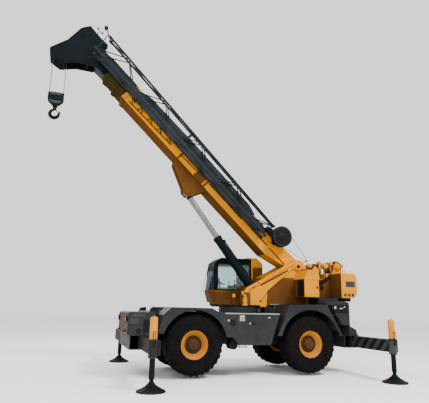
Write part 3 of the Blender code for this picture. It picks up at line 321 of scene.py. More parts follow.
def bolts(spots, facing, radius=0.014, height=0.012, place=cranePlace):
    # A bolt head at each spot, looking along facing
    first = boltHead(radius, height)
    turn = Vector(facing).to_track_quat("Z", "Y").to_matrix().to_4x4()
    made = []
    for spot in spots:
        there = Matrix.Translation(spot) @ turn
        made.append(copied(first, there if place is None else place @ there))
    bpy.data.objects.remove(first, do_unlink=True)
    only(made[0])
    for item in made:
        item.select_set(True)
    if len(made) > 1:
        bpy.ops.object.join()
    return bpy.context.object


# Materials
paints = {
    "orangePaint": {"colour": (0.58, 0.222, 0.001), "deep": (0.48, 0.172, 0.001),
                    "worn": (0.22, 0.1, 0.02), "roughness": 0.46, "dust": 0.02, "dustTop": 4.0,
                    "shine": 0.02},
    # Painted shade: orange paint as it looks in shadow, a flat brown
    "paintedShadeBrown": {"colour": (0.108, 0.044, 0.01), "deep": (0.068, 0.027, 0.007),
                   "worn": (0.08, 0.04, 0.015), "roughness": 0.72, "dust": 0.1, "dustTop": 4.0,
                   "shine": 0.03},
    "greyPaint": {"colour": (0.0155, 0.0175, 0.02), "deep": (0.0105, 0.012, 0.014),
                  "worn": (0.085, 0.085, 0.085), "roughness": 0.5, "dust": 0.22, "dustTop": 2.4,
                  "shine": 0.1},
    "plateGrey": {"colour": (0.03, 0.033, 0.036), "deep": (0.021, 0.024, 0.026),
                  "worn": (0.11, 0.11, 0.11), "roughness": 0.5, "dust": 0.25, "dustTop": 2.4,
                  "shine": 0.12},
    "darkPaint": {"colour": (0.0038, 0.0068, 0.0082), "deep": (0.0024, 0.0044, 0.0054),
                  "worn": (0.04, 0.042, 0.042), "roughness": 0.5, "dust": 0.02, "dustTop": 3.0,
                  "shine": 0.04},
    "jibPaint": {"colour": (0.0085, 0.0135, 0.0175), "deep": (0.0055, 0.0085, 0.0115),
                 "worn": (0.06, 0.06, 0.06), "roughness": 0.5, "dust": 0.1, "dustTop": 3.0, "shine": 0.12},
    "olivePaint": {"colour": (0.036, 0.029, 0.008), "deep": (0.022, 0.017, 0.005),
                   "worn": (0.08, 0.06, 0.03), "roughness": 0.5, "dust": 0.05, "dustTop": 3.0,
                   "shine": 0.0},
    "rimPaint": {"colour": (0.46, 0.165, 0.006), "deep": (0.33, 0.112, 0.005), "worn": (0.14, 0.09, 0.05),
                 "roughness": 0.52, "dust": 0.22, "dustTop": 2.2, "shine": 0.12},
    "jackYellow": {"colour": (0.58, 0.235, 0.01), "deep": (0.44, 0.165, 0.006), "worn": (0.14, 0.09, 0.05),
                   "roughness": 0.34, "dust": 0.1, "dustTop": 2.2, "shine": 0.12},
    # Painted shade: a darker brown-grey for the carrier's front end and the front outrigger beams
    "paintedShadeUmber": {"colour": (0.015, 0.0128, 0.011), "deep": (0.01, 0.0086, 0.0076),
                   "worn": (0.085, 0.08, 0.072), "roughness": 0.62, "dust": 0.18, "dustTop": 2.4,
                   "shine": 0.06},
    "brownPaint": {"colour": (0.06, 0.026, 0.008), "deep": (0.036, 0.016, 0.0055),
                   "worn": (0.06, 0.04, 0.02), "roughness": 0.58, "dust": 0.05, "dustTop": 3.0,
                   "shine": 0.06},
    "paleMetal": {"colour": (0.34, 0.335, 0.32), "deep": (0.24, 0.235, 0.225), "worn": (0.42, 0.42, 0.41),
                  "roughness": 0.42, "dust": 0.3, "dustTop": 2.6, "metal": 0.4},
    "blackPlastic": {"colour": (0.005, 0.005, 0.0056), "deep": (0.0032, 0.0032, 0.0036),
                     "worn": (0.03, 0.03, 0.03), "roughness": 0.62, "dust": 0.08, "dustTop": 2.4,
                     "shine": 0.1},
    "whitePlate": {"colour": (0.36, 0.36, 0.35), "deep": (0.26, 0.26, 0.25), "worn": (0.28, 0.28, 0.27),
                   "roughness": 0.45, "dust": 0.2, "dustTop": 2.4},
    "lampLens": {"colour": (0.55, 0.56, 0.54), "deep": (0.4, 0.42, 0.42), "worn": (0.6, 0.6, 0.6),
                 "roughness": 0.15, "dust": 0.2, "dustTop": 2.4},
    "redLens": {"colour": (0.38, 0.012, 0.008), "deep": (0.24, 0.008, 0.006), "worn": (0.4, 0.05, 0.04),
                "roughness": 0.18, "dust": 0.2, "dustTop": 2.4},
}
materials = {}


def startMaterial(name):
    made = bpy.data.materials.new(name)
    made.use_nodes = True
    return made, made.node_tree, made.node_tree.nodes["Principled BSDF"]


def noiseAt(tree, vector, scale, detail=4.0, stretch=None):
    if stretch:
        mapping = tree.nodes.new("ShaderNodeMapping")
        mapping.inputs["Scale"].default_value = stretch
        tree.links.new(vector, mapping.inputs["Vector"])
        vector = mapping.outputs["Vector"]
    noise = tree.nodes.new("ShaderNodeTexNoise")
    noise.inputs["Scale"].default_value = scale
    noise.inputs["Detail"].default_value = detail
    tree.links.new(vector, noise.inputs["Vector"])
    return noise.outputs["Fac"]


def ranged(tree, value, low, high, toLow=0.0, toHigh=1.0):
    made = tree.nodes.new("ShaderNodeMapRange")
    for socket, number in (("From Min", low), ("From Max", high), ("To Min", toLow), ("To Max", toHigh)):
        made.inputs[socket].default_value = number
    tree.links.new(value, made.inputs["Value"])
    return made.outputs["Result"]


def mathNode(tree, operation, first, second):
    made = tree.nodes.new("ShaderNodeMath")
    made.operation = operation
    for socket, value in zip(made.inputs, (first, second)):
        if isinstance(value, (int, float)):
            socket.default_value = value
        else:
            tree.links.new(value, socket)
    return made.outputs[0]


def mixed(tree, share, first, second):
    made = tree.nodes.new("ShaderNodeMix")
    made.data_type = "RGBA"
    for socket, value in ((made.inputs[0], share), (made.inputs[6], first), (made.inputs[7], second)):
        if isinstance(value, (int, float)):
            socket.default_value = value
        elif isinstance(value, tuple):
            socket.default_value = (*value, 1)
        else:
            tree.links.new(value, socket)
    return made.outputs[2]


def paintColour(tree, spot, look):
    # Blotches, rain streaks and dust over the paint
    blotch = ranged(tree, noiseAt(tree, spot, 1.1), 0.35, 0.7)
    colour = mixed(tree, blotch, look["colour"], look["deep"])
    streak = ranged(tree, noiseAt(tree, spot, 3.0, 3.0, (2.5, 2.5, 0.35)), 0.55, 0.8, 0.0, 0.5)
    colour = mixed(tree, streak, colour, look["deep"])
    speck = ranged(tree, noiseAt(tree, spot, 38.0, 2.0), 0.66, 0.72, 0.0, 0.35)
    colour = mixed(tree, speck, colour, look["worn"])
    height = tree.nodes.new("ShaderNodeSeparateXYZ")
    tree.links.new(spot, height.inputs[0])
    low = ranged(tree, height.outputs["Z"], look["dustTop"], 0.0)
    patch = ranged(tree, noiseAt(tree, spot, 4.5, 5.0), 0.35, 0.75)
    dust = mathNode(tree, "MULTIPLY", mathNode(tree, "MULTIPLY", low, patch), look["dust"])
    return mixed(tree, dust, colour, (0.115, 0.1, 0.08))


def edgeWear(tree, spot, colour, worn, width):
    # Rounded edges for the shading, and paint worn away along them
    edge = tree.nodes.new("ShaderNodeBevel")
    edge.samples = 4
    edge.inputs["Radius"].default_value = width
    facing = tree.nodes.new("ShaderNodeNewGeometry")
    dot = tree.nodes.new("ShaderNodeVectorMath")
    dot.operation = "DOT_PRODUCT"
    tree.links.new(edge.outputs["Normal"], dot.inputs[0])
    tree.links.new(facing.outputs["Normal"], dot.inputs[1])
    bent = ranged(tree, dot.outputs["Value"], 0.985, 0.9)
    broken = ranged(tree, noiseAt(tree, spot, 16.0, 5.0), 0.45, 0.62)
    share = mathNode(tree, "MULTIPLY", bent, broken)
    return mixed(tree, mathNode(tree, "MULTIPLY", share, 0.7), colour, worn), edge.outputs["Normal"]


def finishSurface(tree, shader, spot, colour, normal, roughness, bump=0.12, grain=90.0):
    tree.links.new(colour, shader.inputs["Base Color"])
    tree.links.new(ranged(tree, noiseAt(tree, spot, 7.0, 5.0), 0.3, 0.7, roughness - 0.09, roughness + 0.13),
              shader.inputs["Roughness"])
    relief = tree.nodes.new("ShaderNodeBump")
    relief.inputs["Strength"].default_value = bump
    relief.inputs["Distance"].default_value = 0.004
    tree.links.new(noiseAt(tree, spot, grain, 2.0), relief.inputs["Height"])
    if normal is not None:
        tree.links.new(normal, relief.inputs["Normal"])
    tree.links.new(relief.outputs["Normal"], shader.inputs["Normal"])


def paintMaterial(name, look=None, second=None, border=None, third=None, thirdBorder=None):
    # A worn paint. A second and a third paint can cover what their border(tree, spot) picks
    look = look or paints[name]
    made, tree, shader = startMaterial(name)
    spot = tree.nodes.new("ShaderNodeTexCoord").outputs["Object"]
    colour = paintColour(tree, spot, look)
    if second:
        colour = mixed(tree, border(tree, spot), colour, paintColour(tree, spot, paints[second]))
    if third:
        colour = mixed(tree, thirdBorder(tree, spot), colour, paintColour(tree, spot, paints[third]))
    colour, normal = edgeWear(tree, spot, colour, look["worn"], 0.012)
    shader.inputs["Metallic"].default_value = look.get("metal", 0.0)
    shader.inputs["Specular IOR Level"].default_value = look.get("shine", 0.2)
    finishSurface(tree, shader, spot, colour, normal, look["roughness"])
    materials[name] = made
    return made


def rubberMaterial():
    made, tree, shader = startMaterial("tyreRubber")
    spot = tree.nodes.new("ShaderNodeTexCoord").outputs["Object"]
    blotch = ranged(tree, noiseAt(tree, spot, 5.0, 5.0), 0.3, 0.7)
    colour = mixed(tree, blotch, (0.003, 0.003, 0.0033), (0.0058, 0.0056, 0.0054))
    dust = ranged(tree, noiseAt(tree, spot, 14.0, 6.0), 0.52, 0.76, 0.0, 0.16)
    colour = mixed(tree, dust, colour, (0.036, 0.031, 0.026))
    colour, normal = edgeWear(tree, spot, colour, (0.045, 0.042, 0.04), 0.008)
    shader.inputs["Specular IOR Level"].default_value = 0.03
    finishSurface(tree, shader, spot, colour, normal, 0.78, 0.25, 60.0)
    materials["tyreRubber"] = made


def glassMaterial(name, tint, roughness=0.03):
    made, tree, shader = startMaterial(name)
    spot = tree.nodes.new("ShaderNodeTexCoord").outputs["Object"]
    shader.inputs["Transmission Weight"].default_value = 0.92
    shader.inputs["IOR"].default_value = 1.12
    haze = ranged(tree, noiseAt(tree, spot, 0.8, 2.0), 0.35, 0.75)
    tree.links.new(mixed(tree, haze, tint, tuple(part * 0.86 for part in tint)), shader.inputs["Base Color"])
    tree.links.new(ranged(tree, noiseAt(tree, spot, 1.6, 2.0), 0.4, 0.8, roughness, roughness + 0.03),
              shader.inputs["Roughness"])
    materials[name] = made


def chromeMaterial():
    made, tree, shader = startMaterial("hardChrome")
    spot = tree.nodes.new("ShaderNodeTexCoord").outputs["Object"]
    shader.inputs["Metallic"].default_value = 1.0
    film = ranged(tree, noiseAt(tree, spot, 12.0, 5.0), 0.35, 0.7)
    colour = mixed(tree, film, (0.2, 0.2, 0.205), (0.13, 0.128, 0.125))
    finishSurface(tree, shader, spot, colour, None, 0.34, 0.04, 140.0)
    materials["hardChrome"] = made


def ropeMaterial():
    # Steel rope: strands laid at a slant
    made, tree, shader = startMaterial("steelRope")
    spot = tree.nodes.new("ShaderNodeTexCoord").outputs["Object"]
    wave = tree.nodes.new("ShaderNodeTexWave")
    wave.bands_direction = "DIAGONAL"
    wave.inputs["Scale"].default_value = 26.0
    tree.links.new(spot, wave.inputs["Vector"])
    colour = mixed(tree, wave.outputs["Fac"], (0.03, 0.029, 0.027), (0.11, 0.105, 0.1))
    shader.inputs["Metallic"].default_value = 0.6
    finishSurface(tree, shader, spot, colour, None, 0.5, 0.2, 60.0)
    materials["steelRope"] = made


def seatMaterial():
    made, tree, shader = startMaterial("seatVinyl")
    spot = tree.nodes.new("ShaderNodeTexCoord").outputs["Object"]
    grainCells = tree.nodes.new("ShaderNodeTexVoronoi")
    grainCells.inputs["Scale"].default_value = 260.0
    tree.links.new(spot, grainCells.inputs["Vector"])
    colour = mixed(tree, ranged(tree, noiseAt(tree, spot, 9.0), 0.3, 0.7),
                   (0.012, 0.012, 0.013), (0.024, 0.0235, 0.024))
    relief = tree.nodes.new("ShaderNodeBump")
    relief.inputs["Strength"].default_value = 0.35
    relief.inputs["Distance"].default_value = 0.001
    tree.links.new(grainCells.outputs["Distance"], relief.inputs["Height"])
    tree.links.new(relief.outputs["Normal"], shader.inputs["Normal"])
    tree.links.new(colour, shader.inputs["Base Color"])
    tree.links.new(ranged(tree, noiseAt(tree, spot, 11.0), 0.3, 0.7, 0.45, 0.62), shader.inputs["Roughness"])
    materials["seatVinyl"] = made


def parted(tree, spot):
    made = tree.nodes.new("ShaderNodeSeparateXYZ")
    tree.links.new(spot, made.inputs[0])
    return made.outputs


def cabShadeBorder(tree, spot):
    # Painted shade on the cab's lower panels and the rear post
    parts = parted(tree, spot)
    low = ranged(tree, parts["Z"], 2.785, 2.775)
    rear = mathNode(tree, "MULTIPLY", ranged(tree, parts["Z"], 3.74, 3.7),
                    ranged(tree, parts["X"], atX(-0.74), atX(-0.76)))
    return mathNode(tree, "MAXIMUM", low, rear)


def frontShadeBorder(tree, spot):
    # Painted shade on the frame's front end with its outrigger box
    return ranged(tree, parted(tree, spot)["X"], atX(3.3), atX(3.34))


def pillarBorder(tree, spot):
    # The front pillars and the front of the roof, between the panels and the rear post
    parts = parted(tree, spot)
    high = ranged(tree, parts["Z"], 2.785, 2.795)
    front = ranged(tree, parts["X"], atX(-0.7), atX(-0.69))
    return mathNode(tree, "MULTIPLY", high, front)


def cabinetShadeBorder(tree, spot):
    # Painted shade on the cabinet's front face, which looks at the boom support
    return ranged(tree, parted(tree, spot)["X"], atX(-2.035), atX(-2.031))


def weightShadeBorder(tree, spot):
    # Painted shade on the counterweight's front face, which looks at the hoists
    return ranged(tree, parted(tree, spot)["X"], atX(-3.605), atX(-3.595))


def beamBorder(tree, spot):
    # The turntable's base ring and floor plate
    return ranged(tree, parted(tree, spot)["Z"], 2.29, 2.285)


def armShadeBorder(tree, spot):
    # Painted shade on the side plates' web, below and behind the raised boom support, and on the bracket
    # under the cab
    parts = parted(tree, spot)
    near = ranged(tree, parts["Y"], 0.4565, 0.4555)
    low = ranged(tree, parts["Z"], 3.33, 3.28)
    inner = mathNode(tree, "MULTIPLY", near, low)
    back = ranged(tree, parts["X"], atX(-2.45), atX(-2.55))
    shaded = mathNode(tree, "MAXIMUM", inner, mathNode(tree, "MULTIPLY", back, low))
    nose = mathNode(tree, "MULTIPLY", ranged(tree, parts["X"], atX(-0.275), atX(-0.265)),
                    ranged(tree, parts["Z"], 2.74, 2.7))
    return mathNode(tree, "MAXIMUM", shaded, nose)


def rimBorder(tree, spot):
    # The dark middle of each rim, told by the distance from the wheel's axis
    parts = parted(tree, spot)
    along = mathNode(tree, "SUBTRACT", parts["X"], layout["shiftX"])
    along = mathNode(tree, "SUBTRACT", mathNode(tree, "ABSOLUTE", along, 0.0), layout["wheelX"][0])
    rise = mathNode(tree, "SUBTRACT", parts["Z"], layout["wheelZ"])
    square = mathNode(tree, "ADD", mathNode(tree, "MULTIPLY", along, along),
                      mathNode(tree, "MULTIPLY", rise, rise))
    return ranged(tree, mathNode(tree, "SQRT", square, 0.0), 0.292, 0.28)


def boomUndersideShade(tree, spot):
    # Painted shade on the boom's underside
    parts = parted(tree, spot)
    turn = layout["boomAngle"]
    across = mathNode(tree, "MULTIPLY", mathNode(tree, "SUBTRACT", parts["X"], atX(layout["pivotX"])),
                      -sin(turn))
    rise = mathNode(tree, "MULTIPLY", mathNode(tree, "SUBTRACT", parts["Z"], layout["pivotZ"]), cos(turn))
    return ranged(tree, mathNode(tree, "ADD", across, rise), -0.589, -0.592)


def stripeBorder(tree, spot):
    # Slanting bands along an outrigger beam, and only there
    parts = parted(tree, spot)
    along = mathNode(tree, "SUBTRACT", parts["Y"], parts["Z"])
    wave = mathNode(tree, "SINE", mathNode(tree, "MULTIPLY", along, 2 * pi / 0.42), 0.0)
    out = mathNode(tree, "ABSOLUTE", parts["Y"], 0.0)
    return mathNode(tree, "MULTIPLY", ranged(tree, wave, -0.05, 0.05), ranged(tree, out, 3.4, 3.39))


def makeMaterials():
    for name in paints:
        paintMaterial(name)
    paintMaterial("cabPaint", paints["orangePaint"], "paintedShadeBrown", cabShadeBorder, "darkPaint", pillarBorder)
    paintMaterial("weightOrange", paints["orangePaint"], "paintedShadeBrown", weightShadeBorder)
    paintMaterial("cabinetOrange", paints["orangePaint"], "paintedShadeBrown", cabinetShadeBorder)
    paintMaterial("boomPaintedShade", paints["paintedShadeBrown"])
    paintMaterial("frameGrey", paints["greyPaint"], "paintedShadeUmber", frontShadeBorder)
    paintMaterial("frameOrange", paints["orangePaint"], "paintedShadeBrown", armShadeBorder, "darkPaint", beamBorder)
    paintMaterial("boomOrange", {**paints["orangePaint"], "shine": 0.0}, "paintedShadeBrown", boomUndersideShade)
    paintMaterial("rimFinish", paints["rimPaint"], "brownPaint", rimBorder)
    paintMaterial("beamStripes", paints["plateGrey"], "blackPlastic", stripeBorder)
    rubberMaterial()
    glassMaterial("screenGlass", (0.16, 0.24, 0.34))
    glassMaterial("sideGlass", (0.7, 0.9, 0.9))
    chromeMaterial()
    ropeMaterial()
    seatMaterial()


# The CAD nodes that stay, and the finish of each
nodeFinishes = {
    "boomOrange": ("boom_base",), "olivePaint": ("boom_mid", "boom_inner"), "orangePaint": ("cab_door",),
    "cabinetOrange": ("valve_cabinet",), "weightOrange": ("counterweight",),
    "frameOrange": ("turntable_frame",), "cabPaint": ("cab_shell",), "frameGrey": ("chassis_frame",),
    # The front outrigger beams lie wholly in painted shade
    "paintedShadeUmber": ("outrigger_beam_front_left", "outrigger_beam_front_right"),
    "greyPaint": ("axle_front", "axle_rear", "body_side_left", "body_side_right", "front_panel",
                  "engine_hood", "knuckle_front_left", "knuckle_front_right", "knuckle_rear_left",
                  "knuckle_rear_right"),
    "beamStripes": ("outrigger_beam_rear_left", "outrigger_beam_rear_right"),
    "darkPaint": ("head_sheaves_upper", "head_sheaves_lower", "boom_tip", "lift_barrel", "hook_block",
                  "hook", "engine_block", "jack_float_front_left", "jack_float_front_right",
                  "jack_float_rear_left", "jack_float_rear_right"),
    "jibPaint": ("swingaway_jib",),
    "rimFinish": ("rim_front_left", "rim_front_right", "rim_rear_left", "rim_rear_right"),
    "brownPaint": ("hoist_drum_main", "hoist_drum_auxiliary"), "hardChrome": ("lift_rod",),
    "steelRope": ("hook_rope",), "blackPlastic": ("cab_interior", "cable_reel"),
    "screenGlass": ("cab_windscreen",),
    "sideGlass": ("cab_side_glass", "cab_rear_glass", "cab_door_glass"),
}


def dressNodes():
    for finish, names in nodeFinishes.items():
        for name in names:
            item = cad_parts[name]
            item.data.materials.clear()
            item.data.materials.append(materials[finish])


# Tyres: a moulded carcass and its lugs
tyre = {
    "radius": 0.946, "half": 0.375, "bead": 0.4505, "depth": 0.024, "lugs": 30, "lugWidth": 0.098,
    "sides": 90,
}


def lugBlock():
    # One lug: a slanting bar from the shoulder to the middle of the tread
    half, deep, wide = tyre["half"], tyre["depth"], tyre["lugWidth"] / 2
    deselect()
    bpy.ops.mesh.primitive_grid_add(x_subdivisions=5, y_subdivisions=1, size=2)
    item = bpy.context.object
    base = tyre["radius"] - deep
    for vertex in item.data.vertices:
        along = (vertex.co.x + 1) / 2
        side = vertex.co.y
        y = 0.02 + along * (half - 0.055)
        slant = -0.16 * along + 0.05 * along * along
        drop = 0.0 if y < half - 0.13 else (y - half + 0.13) ** 2 * 5.2
        vertex.co = (side * wide * (1.0 - 0.16 * (1 - along)) + slant, y, base - drop - 0.004)
    only(item)
    bpy.ops.object.mode_set(mode="EDIT")
    bpy.ops.mesh.select_all(action="SELECT")
    bpy.ops.mesh.extrude_region_move(TRANSFORM_OT_translate={"value": (0, 0, deep)})
    bpy.ops.transform.resize(value=(0.86, 1.0, 1.0), orient_type="GLOBAL", center_override=(-0.05, 0, 0))
    bpy.ops.mesh.select_all(action="SELECT")
    bpy.ops.mesh.normals_make_consistent(inside=False)
    bpy.ops.object.mode_set(mode="OBJECT")
    return item


def tyreShape():
    half, radius, deep = tyre["half"], tyre["radius"], tyre["depth"]
    ground = radius - deep
    side = [
        (half - 0.03, tyre["bead"]), (half - 0.004, 0.475), (half - 0.01, 0.5), (half - 0.002, 0.54),
        (half, 0.62), (half - 0.002, 0.7), (half - 0.008, 0.705), (half - 0.008, 0.725),
        (half - 0.002, 0.735), (half - 0.01, 0.8), (half - 0.035, 0.865), (half - 0.085, ground - 0.012),
        (half - 0.13, ground),
    ]
    profile = [(-along, reach) for along, reach in side] + [(0.0, ground + 0.004)] + side[::-1]
    carcass = turned(profile + [profile[0]], tyre["sides"])
    lug = lugBlock()
    made = []
    for index in range(tyre["lugs"]):
        turn = 2 * pi * index / tyre["lugs"]
        made.append(copied(lug, Matrix.Rotation(turn, 4, "Y")))
        swap = Matrix.Rotation(turn + pi / tyre["lugs"], 4, "Y") @ Matrix.Rotation(pi, 4, "Z")
        twin = copied(lug, swap @ Matrix.Scale(-1, 4, (1, 0, 0)))
        twin.data.flip_normals()
        made.append(twin)
    bpy.data.objects.remove(lug, do_unlink=True)
    only(carcass)
    for item in made:
        item.select_set(True)
    bpy.ops.object.join()
    return bpy.context.object


wheelTrim = {"nuts": 20, "nutCircle": 0.245, "hubBolts": 12, "hubCircle": 0.1, "discY": 0.13, "hubY": 0.215}


def wheelHardware():
    # Wheel nuts, hub bolts, the lock ring and the valve, for a left wheel's middle
    nutSpots = [(x, wheelTrim["discY"], z) for x, z in circle(wheelTrim["nuts"], wheelTrim["nutCircle"])]
    hubSpots = [(x, wheelTrim["hubY"], z) for x, z in circle(wheelTrim["hubBolts"], wheelTrim["hubCircle"])]
    nuts = bolts(nutSpots, (0, 1, 0), 0.017, 0.028, place=None)
    hub = bolts(hubSpots, (0, 1, 0), 0.01, 0.01, place=None)
    cap = turned([(0.213, 0.0), (0.233, 0.0), (0.231, 0.045), (0.222, 0.058), (0.213, 0.06)], 24)
    ring = turned([(0.262, 0.405), (0.276, 0.412), (0.282, 0.428), (0.27, 0.434), (0.262, 0.426),
                   (0.262, 0.405)], 48)
    groove = turned([(0.188, 0.345), (0.2, 0.35), (0.215, 0.366), (0.205, 0.368), (0.188, 0.352),
                     (0.188, 0.345)], 48)
    valve = tube([(0.3, 0.14, 0.06), (0.33, 0.18, 0.066), (0.345, 0.21, 0.07)], 0.008, place=None)
    return [nuts, hub, cap, ring, groove, valve]


def makeWheels():
    shape = tyreShape()
    hardware = wheelHardware()
    for name in corners:
        front, left = name.startswith("front"), name.endswith("left")
        x = atX(layout["wheelX"][0 if front else 1])
        place = Matrix.Translation((x, layout["wheelY"] * (1 if left else -1), layout["wheelZ"]))
        if not left:
            place = place @ Matrix.Rotation(pi, 4, "Z")
        piece = finishPiece("tyre_lugs_" + name, copied(shape, place), "tyreRubber", "wheel_" + name,
                            30)
        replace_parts(piece, "tyre_" + name)
        finishPiece("wheel_nuts_" + name, [copied(item, place) for item in hardware], "brownPaint",
                    "wheel_" + name)
    for item in [shape, *hardware]:
        bpy.data.objects.remove(item, do_unlink=True)
    print("wheels done")


def knob(x, y, z, radius, height, axis="Y", way=1, sides=20):
    # A round button or cap that stands on a face
    profile = [(0, 0), (0, radius), (0.7 * height, radius), (height, 0.8 * radius), (height, 0)]
    return turned([(way * along, reach) for along, reach in profile], sides, (atX(x), y, z), axis)


def bothSides(parts):
    return parts + [mirrored(part) for part in parts]


# Carrier: side panels
sidePanel = {"face": 1.62, "top": 2.0}


def sideTrim():
    face, top = sidePanel["face"], sidePanel["top"]
    pale = [
        block((-0.87, 1.06), (face - 0.07, face + 0.012), (top - 0.024, top + 0.006), 0.004),
        knob(0.95, face, 1.77, 0.034, 0.016),
        knob(0.2, face, 1.68, 0.032, 0.016),
        block((-0.53, -0.45), (face, face + 0.012), (1.85, 1.89), 0.003),
    ]
    finishPiece("side_panel_strips", bothSides(pale), "paleMetal", "carrier")
    white = [
        block((0.385, 0.56), (face, face + 0.006), (1.86, 1.935), 0.002),
        block((0.385, 0.462), (face, face + 0.006), (1.755, 1.845), 0.002),
        block((0.478, 0.56), (face, face + 0.006), (1.755, 1.845), 0.002),
        block((0.27, 0.57), (1.4, 1.6), (0.925, 0.957), 0.004),
    ]
    finishPiece("side_panel_plates", bothSides(white), "whitePlate", "carrier")
    dark = [
        block((0.69, 0.88), (face - 0.01, face + 0.01), (1.62, 1.81), 0.006),
        block((0.715, 0.8), (face + 0.006, face + 0.026), (1.6, 1.66), 0.006),
        knob(0.06, face, 1.685, 0.042, 0.018),
        plate([(0.56, 0.97), (0.58, 1.22), (0.66, 1.3), (0.76, 1.27), (0.86, 0.98), (0.82, 0.87),
               (0.64, 0.85)], 1.1, 1.46, 0.012),
    ]
    for x in (0.31, 0.53):
        dark.append(bar((x, 1.5, 0.95), (x, 1.5, 1.06), 0.014, 10))
    for x, bend in ((-0.98, 0.03), (-1.02, -0.02), (-1.06, 0.02)):
        dark.append(tube([(x, 1.37, 1.95), (x + bend, 1.4, 1.75), (x + 0.1, 1.38, 1.58),
                          (x + 0.14, 1.36, 1.4)], 0.019, 8))
    finishPiece("side_panel_steps", bothSides(dark), "blackPlastic", "carrier")
    rivets = bolts([(x / 10, face, 1.955) for x in range(-8, 11, 3)], (0, 1, 0), 0.008, 0.006)
    finishPiece("side_panel_rivets", bothSides([rivets]), "greyPaint", "carrier")


# Carrier: deck and fenders
def deckTrim():
    made = [block((0.85, 2.5), (-0.46, 0.46), (2.018, 2.034), 0.004),
            block((2.62, 3.2), (-0.54, 0.54), (2.018, 2.03), 0.004),
            block((-2.55, -0.85), (-0.46, 0.46), (2.018, 2.03), 0.004)]
    made += bothSides([block((-0.84, 1.02), (0.68, 1.5), (1.998, 2.009), 0.003)])
    made.append(block((-1.372, -1.225), (-0.44, 0.44), (2.018, 2.322), 0.01))
    spots = [(x, y, 2.034) for x in (0.92, 1.68, 2.43) for y in (-0.41, 0.41)]
    spots += [(x, y, 2.03) for x in (2.68, 3.14) for y in (-0.49, 0.49)]
    made.append(bolts(spots, (0, 0, 1), 0.013, 0.01))
    for y in (-0.3, 0.3):
        made.append(tube([(1.6, y, 2.03), (1.6, y, 2.075), (1.64, y, 2.08), (1.76, y, 2.08),
                          (1.8, y, 2.075), (1.8, y, 2.03)], 0.009, 8))
    finishPiece("deck_plates", made, "plateGrey", "carrier")
    lips = []
    for outline in ([(1.5, 2.137), (2.86, 2.147), (2.86, 2.16), (1.5, 2.15)],
                    [(-2.68, 2.327), (-1.26, 2.298), (-1.26, 2.311), (-2.68, 2.34)]):
        lips += [
            plate(outline, 1.6, 1.655, 0.003),
            plate(outline, 0.6, 0.64, 0.003),
        ]
    finishPiece("fender_lips", bothSides(lips), "greyPaint", "carrier")


# Carrier: front bulkhead
def frontTrim():
    # Painted shade: a brown sheet over the whole front face
    brown = [block((4.128, 4.137), (-1.28, 1.28), (1.33, 1.955), 0.003)]
    finishPiece("front_shade_sheet", brown, "brownPaint", "carrier")
    pale = bothSides([block((3.8, 4.08), (1.298, 1.309), (1.62, 1.79), 0.004),
                      block((3.62, 4.04), (1.298, 1.306), (1.845, 1.925), 0.004)])
    pale += [
        block((3.52, 4.05), (-1.22, 1.22), (1.978, 1.988), 0.004),
        bolts([(x, y, 1.988) for x in (3.58, 3.99) for y in (-1.14, -0.57, 0, 0.57, 1.14)], (0, 0, 1),
              0.013, 0.01),
    ]
    finishPiece("front_covers", pale, "plateGrey", "carrier")
    dark = bothSides([
        # Painted shade: the black disc and the black block on each front flank stand for a hole and a recess
        # there
        knob(3.79, 1.298, 1.42, 0.082, 0.014, sides=28),
        block((3.475, 3.66), (1.296, 1.306), (1.38, 1.76), 0.008),
        plate([(3.46, 2.015), (3.4, 2.13), (3.21, 2.15), (3.2, 2.015)], 1.02, 1.27, 0.01),
        turned([(1.298, 0.06), (1.318, 0.06), (1.318, 0.05), (1.302, 0.046), (1.302, 0.0)], 24,
               (atX(3.79), 0, 1.42)),
    ])
    finishPiece("front_recesses", dark, "blackPlastic", "carrier")
    lens, guards = [], []
    for y in (-1.05, 1.05):
        lens.append(turned([(0.0, 0.0), (0.012, 0.03), (0.006, 0.07), (-0.002, 0.074), (-0.01, 0.0)], 24,
                           (atX(4.182), y, 1.78), "X"))
        guards.append(turned([(-0.05, 0.088), (0.012, 0.092), (0.014, 0.084), (0.004, 0.074),
                              (-0.05, 0.074), (-0.05, 0.088)], 24, (atX(4.18), y, 1.78), "X"))
    for y in (-0.78, 0.78):
        guards.append(tube([(4.135, y - 0.07, 1.42), (4.2, y - 0.07, 1.4), (4.23, y, 1.38),
                            (4.2, y + 0.07, 1.4), (4.135, y + 0.07, 1.42)], 0.018, 10))
    guards.append(bolts([(4.137, y / 4, z) for y in (-5, -3, -1, 1, 3, 5) for z in (1.37, 1.92)],
                        (1, 0, 0), 0.013, 0.01))
    finishPiece("front_lamp_glass", lens, "lampLens", "carrier")
    finishPiece("front_lamp_guards", guards, "darkPaint", "carrier")


# Carrier: the engine hood and the tail
hood = {"rear": -3.6, "half": 1.62, "top": 2.45, "slotLow": 1.82, "pitch": 0.085, "rows": 6}


